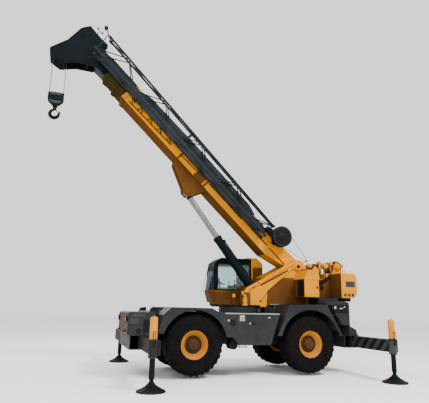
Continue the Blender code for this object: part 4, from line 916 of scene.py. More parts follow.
def hoodTrim():
    rear, half, top = hood["rear"], hood["half"], hood["top"]
    black = bothSides([
        plate([(-2.84, 2.34), (-3.54, 2.35), (-3.54, 2.05), (-3.0, 2.07)], half - 0.01, half + 0.006, 0.006),
        tube([(-3.58, 1.45, 2.4), (-3.63, 1.45, 2.3), (-3.63, 1.42, 1.95), (-3.6, 1.4, 1.8)], 0.016, 8),
    ])
    for row in range(hood["rows"]):
        low = hood["slotLow"] + row * hood["pitch"]
        slat = [
            (rear - 0.004, low + 0.04), (rear + 0.034, low - 0.006), (rear + 0.04, low),
            (rear + 0.004, low + 0.05),
        ]
        black += [plate(slat, *sorted((side * 0.1, side * 1.1)), 0) for side in (-1, 1)]
    finishPiece("hood_louvres", black, "blackPlastic", "carrier")
    bits = bothSides([
        block((-3.06, -2.98), (half + 0.004, half + 0.022), (2.2, 2.29), 0.005),
        block((-3.34, -3.2), (half + 0.004, half + 0.018), (2.2, 2.24), 0.005),
        knob(-3.4, half + 0.004, 2.27, 0.03, 0.02),
    ])
    finishPiece("hood_side_lamps", bits, "paleMetal", "carrier")
    red = [block((rear - 0.04, rear - 0.028), (y - 0.075, y + 0.075), (1.715, 1.805), 0.004)
           for y in (-1.4, 1.4)]
    finishPiece("rear_lamp_glass", red, "redLens", "carrier")
    grey = [block((-3.52, -2.76), (-1.52, -1.1), (top - 0.002, top + 0.01), 0.004),
            block((-3.52, -2.76), (1.1, 1.52), (top - 0.002, top + 0.01), 0.004),
            block((rear - 0.012, rear + 0.005), (-1.16, 1.16), (2.345, 2.365), 0.004),
            block((rear - 0.012, rear + 0.005), (-1.16, 1.16), (1.78, 1.8), 0.004)]
    for y in (-1.16, 0.0, 1.14):
        grey.append(block((rear - 0.012, rear + 0.005), (y, y + 0.02), (1.79, 2.355), 0.004))
    grey.append(bolts([(x, y, top + 0.01) for x in (-3.46, -2.82) for y in (-1.46, -1.16, 1.16, 1.46)],
                      (0, 0, 1), 0.012, 0.009))
    for y in (-0.9, 0.9):
        grey.append(plate([(-3.64, 1.6), (-3.86, 1.603), (-4.09, 1.487), (-4.1, 1.5), (-3.86, 1.618),
                           (-3.64, 1.615)], y - 0.05, y + 0.05, 0.003))
    grey += bothSides([
        block((-3.57, -2.8), (half, half + 0.01), (1.98, 2.0), 0.004),
        bolts([(x, half + 0.001, 2.39) for x in (-3.5, -3.3, -3.1, -2.9)], (0, 1, 0), 0.011, 0.009),
    ])
    finishPiece("hood_covers", grey, "greyPaint", "carrier")
    hitch = [
        block((-4.175, -4.155), (-0.16, 0.16), (0.96, 1.22), 0.008),
        tube([(-4.17, 0, 1.13), (-4.225, 0, 1.14), (-4.25, 0, 1.09), (-4.225, 0, 1.04), (-4.17, 0, 1.05)],
             0.022, 12),
        bolts([(-4.175, y, z) for y in (-0.12, 0.12) for z in (1.0, 1.18)], (-1, 0, 0), 0.014, 0.012),
    ]
    finishPiece("tow_hitch", hitch, "darkPaint", "carrier")


# Outriggers: (beam x, jack x, side, beam height)
outriggers = {
    "front_left": (3.6125, 3.7025, 1, 1.08), "front_right": (3.8975, 3.8075, -1, 1.08),
    "rear_left": (-4.0025, -3.9125, 1, 1.085), "rear_right": (-3.7175, -3.8075, -1, 1.085),
}
jack = {"y": 3.4, "head": 0.0975, "sleeve": 0.12, "float": 0.385, "halfBeam": 0.19, "headRise": 0.6}


def outriggerTrim(name):
    beamX, jackX, side, height = outriggers[name]
    body = "outrigger_" + name
    y = side * jack["y"]
    high, low = height + jack["halfBeam"], height - jack["halfBeam"]
    top = high + jack["headRise"]
    shell = turned([(high + 0.045, jack["head"] - 0.004), (high + 0.045, jack["head"] + 0.003),
                    (high + 0.055, jack["head"] + 0.005), (top - 0.02, jack["head"] + 0.005),
                    (top, jack["head"] + 0.002), (top + 0.021, 0.082), (top + 0.024, 0.05),
                    (top + 0.024, 0.0)], 28, (atX(jackX), y, 0), "Z")
    lug = block((jackX - 0.012, jackX + 0.012), (y - 0.03, y + 0.03), (top + 0.018, top + 0.055), 0.004)
    finishPiece("jack_head_" + name, [shell, lug], "jackYellow", body)
    reach = jack["sleeve"]
    collars = [
        turned([(high + 0.004, reach - 0.006), (high + 0.004, reach + 0.016),
                (high + 0.026, reach + 0.016), (high + 0.032, reach + 0.008), (high + 0.036, jack["head"]),
                (high + 0.004, jack["head"])], 28, (atX(jackX), y, 0), "Z"),
        turned([(low - 0.052, reach - 0.03), (low - 0.052, reach + 0.006), (low - 0.02, reach + 0.008),
                (low - 0.012, reach - 0.002)], 28, (atX(jackX), y, 0), "Z"),
    ]
    ringSpots = [(jackX + a, y + b, high + 0.026) for a, b in circle(8, reach + 0.001)]
    collars.append(bolts(ringSpots, (0, 0, 1), 0.009, 0.012))
    finishPiece("jack_collars_" + name, collars, "greyPaint", body)
    hoses = []
    for shift in (-0.035, 0.035):
        hoses.append(tube([(jackX + shift, y + side * 0.132, high - 0.1),
                           (jackX + shift, y + side * 0.15, high + 0.02),
                           (jackX + shift, y + side * 0.155, high + 0.14),
                           (jackX + shift, y + side * 0.13, high + 0.24),
                           (jackX + shift, y + side * 0.098, high + 0.26)], 0.01, 8))
    hoses.append(block((jackX - 0.055, jackX + 0.055), sorted((y + side * 0.105, y + side * 0.148)),
                       (high - 0.15, high - 0.09), 0.006))
    finishPiece("jack_hoses_" + name, hoses, "blackPlastic", body)


def floatTrim(name):
    _, jackX, side, _ = outriggers[name]
    y, reach = side * jack["y"], jack["float"]
    edge = turned([(0.004, reach - 0.004), (0.004, reach + 0.003), (0.026, reach + 0.003),
                   (0.032, reach - 0.004), (0.03, reach - 0.012)], 48, (atX(jackX), y, 0), "Z")
    finishPiece("float_edge_" + name, edge, "olivePaint", "jack_" + name)
    ribs = []
    for index in range(8):
        turn = Matrix.Translation((atX(jackX), y, 0)) @ Matrix.Rotation(index * pi / 4, 4, "Z")
        ribs.append(plate([(0.11, 0.13), (0.32, 0.055), (0.32, 0.068), (0.13, 0.165)], -0.007, 0.007,
                          0.002, turn))
    ribs += [
        turned([(0.145, 0.1), (0.145, 0.145), (0.175, 0.145), (0.182, 0.135), (0.182, 0.098)], 28,
               (atX(jackX), y, 0), "Z"),
        turned([(0.236, 0.05), (0.24, 0.066), (0.25, 0.07), (0.262, 0.066), (0.266, 0.05)], 24,
               (atX(jackX), y, 0), "Z"),
    ]
    spots = [(jackX + a, y + b, 0.176) for a, b in circle(8, 0.125, pi / 8)]
    ribs.append(bolts(spots, (0, 0, 1), 0.009, 0.01))
    finishPiece("float_ribs_" + name, ribs, "darkPaint", "jack_" + name)


# Undercarriage: what shows between the wheels and from below
def undercarriage():
    made, bright = [], []
    for way, axle in ((1, layout["wheelX"][0]), (-1, layout["wheelX"][1])):
        near = way * 1.19
        made.append(bar((near, 0, 1.08), (axle - way * 0.28, 0, 1.02), 0.045, 20))
        for x in (near + way * 0.06, axle - way * 0.31):
            made.append(bar((x - 0.035, 0, 1.05), (x + 0.035, 0, 1.05), 0.075, 16))
        made += [
            turned([(-0.05, 0.0), (-0.05, 0.1), (-0.015, 0.15), (0.03, 0.15), (0.03, 0.0)], 24,
                   (atX(axle - way * 0.24), 0, 1.012), "X"),
            bolts([(axle + 0.262 * way, a, 1.012 + b) for a, b in circle(10, 0.165)], (way, 0, 0), 0.01,
                  0.01),
        ]
        for side in (-1, 1):
            made.append(bar((axle + way * 0.22, side * 0.1, 1.06), (axle + way * 0.22, side * 0.46, 1.06),
                            0.045, 18))
            bright.append(bar((axle + way * 0.22, side * 0.46, 1.06),
                              (axle + way * 0.22, side * 0.6, 1.06), 0.022, 14))
            made += [
                turned([(0.0, 0.0), (0.0, 0.07), (0.03, 0.085), (0.1, 0.085), (0.13, 0.06),
                        (0.13, 0.0)], 20, (atX(axle - way * 0.24), side * 0.44 - 0.065, 1.16), "Y"),
                tube([(axle - way * 0.24, side * 0.42, 1.24), (axle - way * 0.3, side * 0.4, 1.3),
                      (axle - way * 0.42, side * 0.38, 1.28), (axle - way * 0.6, side * 0.4, 1.26)],
                     0.014, 8),
            ]
    finishPiece("axle_drive", made, "darkPaint", "carrier")
    finishPiece("steering_rods", bright, "hardChrome", "carrier")


def makeCarrier():
    sideTrim()
    deckTrim()
    frontTrim()
    hoodTrim()
    for name in outriggers:
        outriggerTrim(name)
        floatTrim(name)
    undercarriage()
    print("carrier done")


# Superstructure: the raised boom support and the swing drive
def supportTrim():
    dark = [
        # Painted shadow: a black strip on the raised support's face, under the flange's edge
        plate([(-0.655, 3.005), (-1.775, 3.595), (-1.79, 3.545), (-0.67, 2.955)], 0.5, 0.509, 0.003),
        knob(-0.663, 0.505, 2.423, 0.036, 0.006),
        bar((-0.675, 0.512, 2.44), (-1.0, 0.512, 2.83), 0.008, 8),
        block((-0.6, -0.54), (0.563, 0.57), (3.055, 3.1), 0.003),
        plate([(-0.3, 2.865), (-0.44, 2.945), (-0.43, 2.965), (-0.29, 2.885)], 0.563, 0.57, 0.002),
        turned([(0.54, 0.0), (0.548, 0.0), (0.548, 0.066), (0.54, 0.07)], 28, (atX(-2.2), 0, 3.73)),
    ]
    finishPiece("support_shadow_and_slots", dark, "blackPlastic", "turntable")
    orange = [
        plate([(-0.63, 2.225), (-0.895, 2.225), (-0.935, 2.79)], 0.4553, 0.504, 0.004),
        turned([(0.506, 0.0), (0.506, 0.145), (0.528, 0.145), (0.536, 0.135), (0.536, 0.075),
                (0.542, 0.068), (0.542, 0.0)], 36, (atX(-2.2), 0, 3.73)),
        plate([(-2.04, 3.66), (-2.04, 3.72), (-1.93, 3.72), (-1.93, 3.66)], 0.505, 0.522, 0.004),
        bolts([(-2.2 + a, 0.536, 3.73 + b) for a, b in circle(8, 0.11)], (0, 1, 0), 0.01, 0.01),
        bolts([(-1.955, 0.522, 3.69), (-2.0, 0.522, 3.69)], (0, 1, 0), 0.01, 0.01),
    ]
    finishPiece("boom_pin_cover", orange, "orangePaint", "turntable")
    drive = [
        turned([(2.262, 0.0), (2.262, 0.105), (2.282, 0.105), (2.29, 0.078), (2.372, 0.078), (2.38, 0.092),
                (2.398, 0.092), (2.406, 0.08), (2.52, 0.076), (2.532, 0.06), (2.545, 0.0)], 28,
               (atX(-0.02), 0.6, 0), "Z"),
        turned([(2.54, 0.0), (2.54, 0.045), (2.62, 0.045), (2.64, 0.03), (2.64, 0.0)], 20,
               (atX(-0.02), 0.6, 0), "Z"),
        bar((0.02, 0.595, 2.6), (0.1, 0.575, 2.76), 0.026, 14),
        turned([(2.4, 0.0), (2.4, 0.055), (2.5, 0.055), (2.52, 0.04), (2.52, 0.0)], 20,
               (atX(0.33), 0.4, 0.14), "Z"),
        bolts([(-0.02 + a, 0.6 + b, 2.282) for a, b in circle(8, 0.094)], (0, 0, 1), 0.008, 0.009),
    ]
    finishPiece("swing_drive", drive, "orangePaint", "turntable")
    ringSpots = [(a, b, 2.262) for a, b in circle(36, 0.685) if abs(abs(b) - 0.43) > 0.06]
    finishPiece("slew_ring_bolts", bolts(ringSpots, (0, 0, 1), 0.012, 0.014), "darkPaint",
                "turntable")


# Superstructure: hoses, cabinet and counterweight
def deckHoses():
    made = []
    for y in (-0.24, -0.12, 0.12, 0.24):
        made.append(tube([(-0.98, y, 2.3), (-1.15, y, 2.42), (-1.5, y, 2.48), (-2.3, y, 2.5),
                          (-2.75, y, 2.78), (-3.05, y, 2.8), (-3.3, y, 3.05)], 0.019, 8))
    for shift in (0.0, 0.05, 0.1):
        made.append(tube([(-2.7, 0.45, 3.02 - shift), (-2.86, 0.5, 3.12 - shift),
                          (-3.19, 0.5, 3.23 - shift), (-3.42, 0.5, 3.36 - shift),
                          (-3.6, 0.46, 3.46 - shift), (-3.66, 0.4, 3.56)], 0.022, 10))
    for shift in (0.0, 0.06):
        made.append(tube([(-2.4 - shift, 0.46, 3.4), (-2.5 - shift, 0.52, 3.62), (-2.66 - shift, 0.5, 3.7),
                          (-2.8, 0.44, 3.58 + shift)], 0.018, 8))
    made += [
        knob(-3.2, 0.453, 2.98, 0.085, 0.02),
        tube([(0.02, 0.57, 2.56), (-0.02, 0.5, 2.74), (-0.1, 0.36, 2.78), (-0.3, 0.3, 2.5),
              (-0.6, 0.28, 2.33)], 0.014, 8),
    ]
    finishPiece("deck_hoses", made, "blackPlastic", "turntable")


def cabinetTrim():
    out = 1.27
    # Painted shade: a black sheet on the cabinet's front face, in the gap beside the side plate
    dark = [block((-2.035, -2.021), (0.78, 1.245), (2.62, 3.215), 0.008)]
    for x in (-2.6, -2.052):
        dark.append(block((x, x + 0.004), (out - 0.003, out + 0.002), (2.63, 3.2), 0))
    dark += [
        block((-2.6, -2.05), (out - 0.003, out + 0.002), (2.626, 2.63), 0),
        block((-2.6, -2.05), (out - 0.003, out + 0.002), (3.198, 3.202), 0),
        block((-2.57, -2.51), (out, out + 0.014), (2.9, 2.98), 0.004),
    ]
    dark += [tube([(-2.56 + k * 0.09, 0.8, 3.55), (-2.56 + k * 0.09, 0.7, 3.63),
                   (-2.58 + k * 0.07, 0.52, 3.62), (-2.6, 0.46, 3.5)], 0.014, 8) for k in range(4)]
    finishPiece("cabinet_shade_and_seams", dark, "blackPlastic", "turntable")
    lid = [block((-2.625, -2.2), (0.47, 1.262), (3.558, 3.57), 0.004)]
    for z in (2.72, 3.1):
        lid.append(block((-2.056, -2.026), (out - 0.004, out + 0.012), (z, z + 0.07), 0.003))
    lid.append(bolts([(x, y, 3.57) for x in (-2.58, -2.25) for y in (0.52, 0.87, 1.22)], (0, 0, 1), 0.01,
                     0.009))
    finishPiece("cabinet_lid", lid, "orangePaint", "turntable")


def weightTrim():
    side, rear = 1.2, -4.27
    grey = [block((-4.18, -3.79), (side - 0.004, side + 0.006), (3.0, 3.21), 0.003)]
    for x in (-4.12, -3.96, -3.8):
        grey.append(block((x, x + 0.1), (side - 0.002, side + 0.016), (2.66, 2.76), 0.008))
    finishPiece("weight_plates", grey, "plateGrey", "turntable")
    tray = [
        block((-4.08, -3.75), (-1.05, 1.05), (2.478, 2.6), 0.01),
        bolts([(x, 1.05, 2.54) for x in (-4.02, -3.92, -3.82)], (0, 1, 0), 0.014, 0.012),
    ]
    finishPiece("weight_tray", tray, "darkPaint", "turntable")
    made = [block((rear - 0.004, rear + 0.004), (y - 0.004, y + 0.004), (2.82, 3.37), 0)
            for y in (-0.62, 0.62)]
    made += [
        block((rear - 0.012, rear), (-0.34, 0.34), (2.93, 3.19), 0.004),
        bolts([(rear - 0.012, y, z) for y in (-0.31, 0.31) for z in (2.96, 3.16)], (-1, 0, 0), 0.014,
              0.012),
    ]
    for y in (-0.95, 0.95):
        made += [
            tube([(-3.96, y, 3.498), (-3.96, y, 3.56), (-3.93, y, 3.6), (-3.87, y, 3.6),
                  (-3.84, y, 3.56), (-3.84, y, 3.498)], 0.018, 12),
            knob(-3.7, y, 3.5, 0.055, 0.028, "Z"),
        ]
    made.append(bolts([(x, side + 0.001, 3.44) for x in (-4.1, -3.9, -3.7)], (0, 1, 0), 0.016, 0.014))
    finishPiece("weight_fittings", made, "orangePaint", "turntable")
    red = [block((rear - 0.01, rear + 0.002), (y - 0.07, y + 0.07), (2.88, 2.92), 0.004) for y in (-1.0, 1.0)]
    finishPiece("weight_reflectors", red, "redLens", "turntable")


# Superstructure: rope on the drums, their motors and the fittings between them
hoists = ((-3.02, 3.6, 0.3, "main"), (-3.98, 3.8, 0.25, "auxiliary"))


def hoistTrim():
    for x, z, reach, name in hoists:
        profile = [(-0.256, reach * 0.76)]
        steps = 21
        for index in range(steps):
            at = -0.252 + index * 0.024
            profile += [
                (at, reach * 0.86), (at + 0.006, reach * 0.885), (at + 0.018, reach * 0.885),
                (at + 0.024, reach * 0.86),
            ]
        profile.append((0.256, reach * 0.76))
        finishPiece("rope_layers_" + name, turned(profile, 36, (atX(x), 0, z)), "steelRope", "turntable",
                    25)
    orange, brown = [], []
    for x, z, reach, name in hoists:
        for way in (1, -1):
            core = [
                (0.362, 0.0), (0.362, 0.15), (0.38, 0.15), (0.388, 0.118), (0.43, 0.112), (0.44, 0.07),
                (0.48, 0.066), (0.486, 0.0),
            ]
            orange += [
                turned([(way * along, ring) for along, ring in core], 28, (atX(x), 0, z)),
                bolts([(x + a, way * 0.38, z + b) for a, b in circle(8, 0.134)], (0, way, 0), 0.01, 0.01),
            ]
        brown.append(block((x - 0.05, x + 0.05), (0.3, 0.36), (z + 0.06, z + 0.2), 0.012))
    for x, z, ring in ((-3.47, 3.83, 0.115), (-2.8, 3.8, 0.085)):
        orange.append(turned([(0.14, 0.0), (0.14, ring), (0.3, ring), (0.315, ring * 0.8),
                              (0.4, ring * 0.8), (0.41, 0.0)], 24, (atX(x), 0, z)))
        brown.append(block((x - 0.02, x + 0.02), (0.2, 0.26), (3.27, z), 0.004))
    for x, y, z in ((-3.2, 0.33, 3.92), (-4.2, 0.3, 3.86), (-3.72, 0.33, 3.92)):
        brown += [
            turned([(-0.07, 0.0), (-0.07, 0.075), (0.06, 0.075), (0.07, 0.06), (0.07, 0.0)], 20,
                   (atX(x), y, z)),
            block((x - 0.015, x + 0.015), (y - 0.02, y + 0.02), (3.52 if x < -3.5 else 3.6, z), 0.003),
        ]
    finishPiece("hoist_motors", orange, "orangePaint", "turntable")
    finishPiece("hoist_fittings", brown, "rimPaint", "turntable")


# Cab outside: gaskets, wiper, rails and roof boxes
cab = {"inner": -0.4553, "outer": -1.38, "middle": -0.9177, "floor": 2.4203, "roof": 4.03}


def gasket(x, y, z, depth, way):
    # Four strips round a window in a face that looks along Y
    low, high = sorted((y, y + way * depth))
    return [block((x[0] - 0.03, x[0] + 0.012), (low, high), z, 0.003),
            block((x[1] - 0.012, x[1] + 0.03), (low, high), z, 0.003),
            block((x[0] - 0.03, x[1] + 0.03), (low, high), (z[0] - 0.03, z[0] + 0.012), 0.003),
            block((x[0] - 0.03, x[1] + 0.03), (low, high), (z[1] - 0.012, z[1] + 0.03), 0.003)]


def screenX(z):
    # Where the windscreen's slope stands at a height
    return 0.97 - (z - 2.76) * 0.21 / 1.1


def cabOutside():
    inner, outer, roof = cab["inner"], cab["outer"], cab["roof"]
    black = gasket((-0.62, 0.66), inner, (2.84, 3.8), 0.008, 1)
    for y in (outer + 0.035, inner - 0.06):
        strip = [
            (screenX(2.79), 2.79), (screenX(2.79) + 0.009, 2.79), (screenX(3.85) + 0.009, 3.85),
            (screenX(3.85), 3.85),
        ]
        black.append(plate(strip, y, y + 0.025, 0.002))
    for z in (2.785, 3.84):
        black.append(plate([(screenX(z), z), (screenX(z) + 0.009, z),
                            (screenX(z + 0.025) + 0.009, z + 0.025), (screenX(z + 0.025), z + 0.025)],
                           outer + 0.035, inner - 0.035, 0.002))
    black += [block((-1.178, -1.168), (outer + 0.09, inner - 0.09), z, 0.002)
              for z in ((3.07, 3.105), (3.755, 3.79))]
    black += [block((-1.178, -1.168), y, (3.07, 3.79), 0.002)
              for y in ((outer + 0.09, outer + 0.125), (inner - 0.125, inner - 0.09))]
    black += [
        tube([(screenX(2.8) + 0.015, -0.92, 2.8), (screenX(3.1) + 0.018, -0.86, 3.1),
              (screenX(3.4) + 0.016, -0.78, 3.4)], 0.007, 8),
        bar((screenX(3.16) + 0.013, -0.84, 3.16), (screenX(3.66) + 0.013, -0.72, 3.66), 0.006, 8),
        block((0.955, 0.985), (-0.96, -0.88), (2.77, 2.83), 0.008),
        block((-0.45, 0.3), (-1.02, -0.72), (roof + 0.004, roof + 0.016), 0.004),
    ]
    black += [block((x, x + 0.05), (inner - 0.002, inner + 0.01), (2.5, 2.56), 0.004) for x in (-0.9, 0.3)]
    finishPiece("cab_gaskets", black, "blackPlastic", "turntable")
    rails = [tube([(-1.175, y, 2.7), (-1.215, y, 2.72), (-1.215, y, 2.98), (-1.175, y, 3.0)], 0.012, 10)
             for y in (-1.28, -0.56)]
    rails += [tube([(x, -1.22, roof), (x, -1.22, roof + 0.05), (x + 0.03, -1.22, roof + 0.06),
                    (x + 0.27, -1.22, roof + 0.06), (x + 0.3, -1.22, roof + 0.05), (x + 0.3, -1.22, roof)],
                   0.011, 10) for x in (-0.8, -0.1)]
    rails += [
        block((-0.97, -0.52), (-1.16, -0.5), (roof - 0.01, roof + 0.05), 0.016),
        block((-1.16, -0.99), (-1.2, -0.62), (3.86, 3.96), 0.016),
    ]
    finishPiece("cab_rails", rails, "orangePaint", "turntable")
    door = gasket((-0.44, 0.38), -1.425, (2.95, 3.78), 0.008, -1)
    door += [
        tube([(-0.36, -1.425, 2.66), (-0.36, -1.468, 2.68), (-0.36, -1.468, 2.84),
              (-0.36, -1.425, 2.86)], 0.011, 10),
        block((-0.42, -0.3), (-1.436, -1.422), (2.6, 2.66), 0.006),
    ]
    door += [block((-0.53, 0.47), (-1.431, -1.423), (z, z + 0.03), 0.003) for z in (2.45, 3.84)]
    finishPiece("cab_door_trim", door, "blackPlastic", "cab_door")


# Cab inside: seat, levers, wheel and console in place of the plain solid
def cushion(x, y, z, turn=0.0, about=(0, 0, 0)):
    item = block(x, y, z, 0, place=None)
    bevelAll(item, 0.045, 4)
    middle = Vector([(pair[0] + pair[1]) / 2 for pair in (x, y, z)])
    sizes = [abs(pair[1] - pair[0]) / 2 for pair in (x, y, z)]
    for vertex in item.data.vertices:
        across = min(1.0, abs(vertex.co.y - middle.y) / sizes[1])
        vertex.co.z += 0.018 * (1 - across * across)
    swing = Matrix.Translation(about) @ Matrix.Rotation(turn, 4, "Y") @ Matrix.Translation(-Vector(about))
    item.data.transform(cranePlace @ swing)
    return item


def cabInside():
    mid, floor = cab["middle"], cab["floor"]
    seat = finishPiece("seat_cushion",
                       cushion((-0.6, -0.12), (mid - 0.235, mid + 0.235), (floor + 0.345, floor + 0.445)),
                       "seatVinyl", "turntable")
    back = finishPiece("seat_back",
                       cushion((-1.06, -0.52), (mid - 0.215, mid + 0.215), (floor + 0.44, floor + 0.54),
            radians(72), (-0.54, 0, floor + 0.46)), "seatVinyl", "turntable")
    dark = [
        block((-0.58, -0.14), (mid - 0.2, mid + 0.2), (floor + 0.3, floor + 0.35), 0.012),
        block((-0.5, -0.24), (mid - 0.15, mid + 0.15), (floor + 0.05, floor + 0.3), 0.015),
        block((-0.6, -0.1), (mid - 0.22, mid + 0.22), (floor, floor + 0.05), 0.008),
        block((-0.48, 0.0), (mid + 0.275, mid + 0.345), (floor + 0.3, floor + 0.62), 0.02),
        block((-0.48, 0.0), (mid - 0.345, mid - 0.275), (floor + 0.3, floor + 0.62), 0.02),
        block((-0.44, -0.1), (mid - 0.33, mid + 0.33), (floor + 0.05, floor + 0.3), 0.012),
        bar((0.52, mid, floor + 0.01), (0.42, mid, floor + 0.66), 0.042, 16, 0.034),
        block((0.44, 0.6), (mid - 0.16, mid + 0.16), (floor, floor + 0.09), 0.01),
        block((-0.12, 0.44), (mid - 0.055, mid + 0.055), (floor, floor + 0.022), 0.004),
        block((0.56, 0.7), (mid + 0.2, mid + 0.38), (floor + 0.6, floor + 0.86), 0.014),
        bar((0.62, mid + 0.3, floor + 0.02), (0.62, mid + 0.3, floor + 0.62), 0.018, 12),
    ]
    for y in (mid - 0.31, mid + 0.31):
        dark.append(turned([(floor + 0.61, 0.0), (floor + 0.61, 0.045), (floor + 0.65, 0.018),
                            (floor + 0.72, 0.014), (floor + 0.74, 0.026), (floor + 0.8, 0.022),
                            (floor + 0.81, 0.0)], 14, (atX(-0.06), y, 0), "Z"))
    for y in (mid - 0.12, mid + 0.02, mid + 0.14):
        dark.append(block((0.34, 0.44), (y - 0.035, y + 0.035), (floor + 0.06, floor + 0.075), 0.004))
    deselect()
    bpy.ops.mesh.primitive_torus_add(major_segments=40, minor_segments=10, major_radius=0.185,
            minor_radius=0.014)
    wheel = bpy.context.object
    spokes = [bar((0, 0, 0), (0.185 * cos(angle), 0.185 * sin(angle), 0), 0.01, 8, place=None)
              for angle in (0.0, 2 * pi / 3, 4 * pi / 3)]
    spokes.append(bar((0, 0, -0.03), (0, 0, 0.015), 0.032, 20, place=None))
    lean = Matrix.Translation((atX(0.415), mid, floor + 0.69)) @ Matrix.Rotation(radians(-22), 4, "Y")
    for item in (wheel, *spokes):
        item.data.transform(lean)
    made = finishPiece("cab_controls", [*dark, wheel, *spokes], "blackPlastic", "turntable")
    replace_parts(made, "cab_interior")
    screen = [block((0.548, 0.558), (mid + 0.215, mid + 0.365), (floor + 0.64, floor + 0.83), 0.003)]
    finishPiece("cab_screen", screen, "plateGrey", "turntable")


def makeUpper():
    supportTrim()
    deckHoses()
    cabinetTrim()
    weightTrim()
    hoistTrim()
    cabOutside()
    cabInside()
    print("superstructure done")


# Boom: side lines, weld seams and the reinforced band in painted shade; (s, t) outlines run along Y
boom = {
    "half": 0.36, "low": -0.6, "high": 0.145, "rise": 0.011, "end": 9.1, "step": 0.034, "shows": 0.5,
    "collar": 0.14, "lip": 0.022,
    "lines": ((0.42, -0.3, 1.26, -0.3), (1.4, -0.3, 2.52, -0.3), (2.79, -0.335, 4.56, -0.345),
              (5.25, -0.385, 6.12, -0.415), (6.58, -0.44, 8.78, -0.505)),
    "laces": ((6.62, 8.62), 9), "seams": (1.33, 2.6, 3.9, 6.62, 7.9),
}


def boomTrim():
    half, low, high, place = boom["half"], boom["low"], boom["high"], boomPlace()
    dark, orange = [], []
    for start, low1, end, low2 in boom["lines"]:
        strip = bar((start, half + 0.01, low1), (end, half + 0.01, low2), 0.019, 10, place=place)
        dark += [strip, mirrored(strip)]
    (first, last), count = boom["laces"]
    for k in range(count):  # slanted stays under the stowed jib
        s = first + (last - first) * k / (count - 1)
        dark.append(bar((s, half, -0.44 - 0.0295 * (s - 6.58)), (s + (0.14, -0.1)[k % 2], 0.5, -0.37),
                        0.015, 8, place=place))
    for s in boom["seams"]:
        for t in ((low + 0.01, -0.325), (-0.28, high - 0.01)):
            weld = block((s - 0.011, s + 0.011), (half - 0.003, half + 0.006), t, 0.003, place)
            orange += [weld, mirrored(weld)]
        orange.append(block((s - 0.011, s + 0.011), (-half + 0.01, half - 0.01),
                            (high - 0.003, high + 0.006), 0.003, place))
    finishPiece("boom_side_lines", dark, "darkPaint", "boom_base")
    for s, t in ((9.03, -0.5), (9.03, -0.22), (9.03, 0.05)):
        cover = plate([(s - 0.045, t - 0.05), (s + 0.045, t - 0.05), (s + 0.045, t + 0.05),
                       (s - 0.045, t + 0.05)], half + boom["lip"] - 0.002, half + boom["lip"] + 0.012,
                      0.003, place)
        nuts = bolts([(s + x, half + boom["lip"] + 0.012, t + z) for x in (-0.028, 0.028)
                      for z in (-0.033, 0.033)], (0, 1, 0), 0.009, 0.01, place)
        orange += [cover, nuts, mirrored(cover), mirrored(nuts)]
    for y in (-0.24, 0.0, 0.24):
        orange += [
            block((8.985, 9.075), (y - 0.06, y + 0.06),
                  (high + boom["lip"] - 0.002, high + boom["lip"] + 0.012), 0.003, place),
            bolts([(9.03 + x, y + w, high + boom["lip"] + 0.012) for x in (-0.028, 0.028)
                   for w in (-0.04, 0.04)], (0, 0, 1), 0.009, 0.01, place),
        ]
    for s, t, reach in ((0.1, 0.02, 0.05), (0.62, -0.12, 0.035)):
        orange.append(turned([(half - 0.002, 0.0), (half - 0.002, reach), (half + 0.01, reach),
                              (half + 0.014, reach - 0.006), (half + 0.014, 0.0)], 24, (s, 0, t), "Y", place))
    finishPiece("boom_welds", orange, "orangePaint", "boom_base")
    # Painted shade: the band's raised plates, strips and bolts all take the shade brown
    band = []
    for s, t in (((4.76, 5.22), (low + 0.002, -0.15)), ((4.62, 4.7), (low + 0.002, high - 0.002)),
                 ((6.02, 6.09), (low + 0.002, high - 0.002))):
        shade = block(s, (half + boom["rise"] - 0.003, half + boom["rise"] + 0.006), t, 0.003, place)
        band += [shade, mirrored(shade)]
    nuts = bolts([(4.8 + 0.075 * k, half + boom["rise"] + 0.006, t) for k in range(6)
                  for t in (-0.56, -0.19)], (0, 1, 0), 0.01, 0.01, place)
    band += [nuts, mirrored(nuts)]
    finishPiece("boom_band", band, "boomPaintedShade", "boom_base")
    top = [bar((s, -0.2, high + 0.075), (s, 0.2, high + 0.075), 0.04, 20, place=place) for s in (3.05, 6.45)]
    for s in (3.05, 6.45):
        for y in (-0.225, 0.205):
            top.append(plate([(s - 0.08, high - 0.005), (s + 0.08, high - 0.005), (s + 0.03, high + 0.1),
                              (s - 0.03, high + 0.1)], y, y + 0.02, 0.003, place))
    finishPiece("rope_rollers", top, "darkPaint", "boom_base")
    lines = [tube([(0.3, y, high + 0.03), (0.9, y, high + 0.028), (5.0, y, high + 0.026),
                   (8.7, y, high + 0.026), (8.9, y, high + 0.05)], 0.013, 8, place) for y in (-0.31, -0.27)]
    lines += [block((s, s + 0.05), (-0.335, -0.245), (high - 0.002, high + 0.045), 0.004, place)
              for s in (1.0, 2.4, 3.8, 5.2, 6.6, 8.0)]
    finishPiece("boom_lines", lines, "blackPlastic", "boom_base")


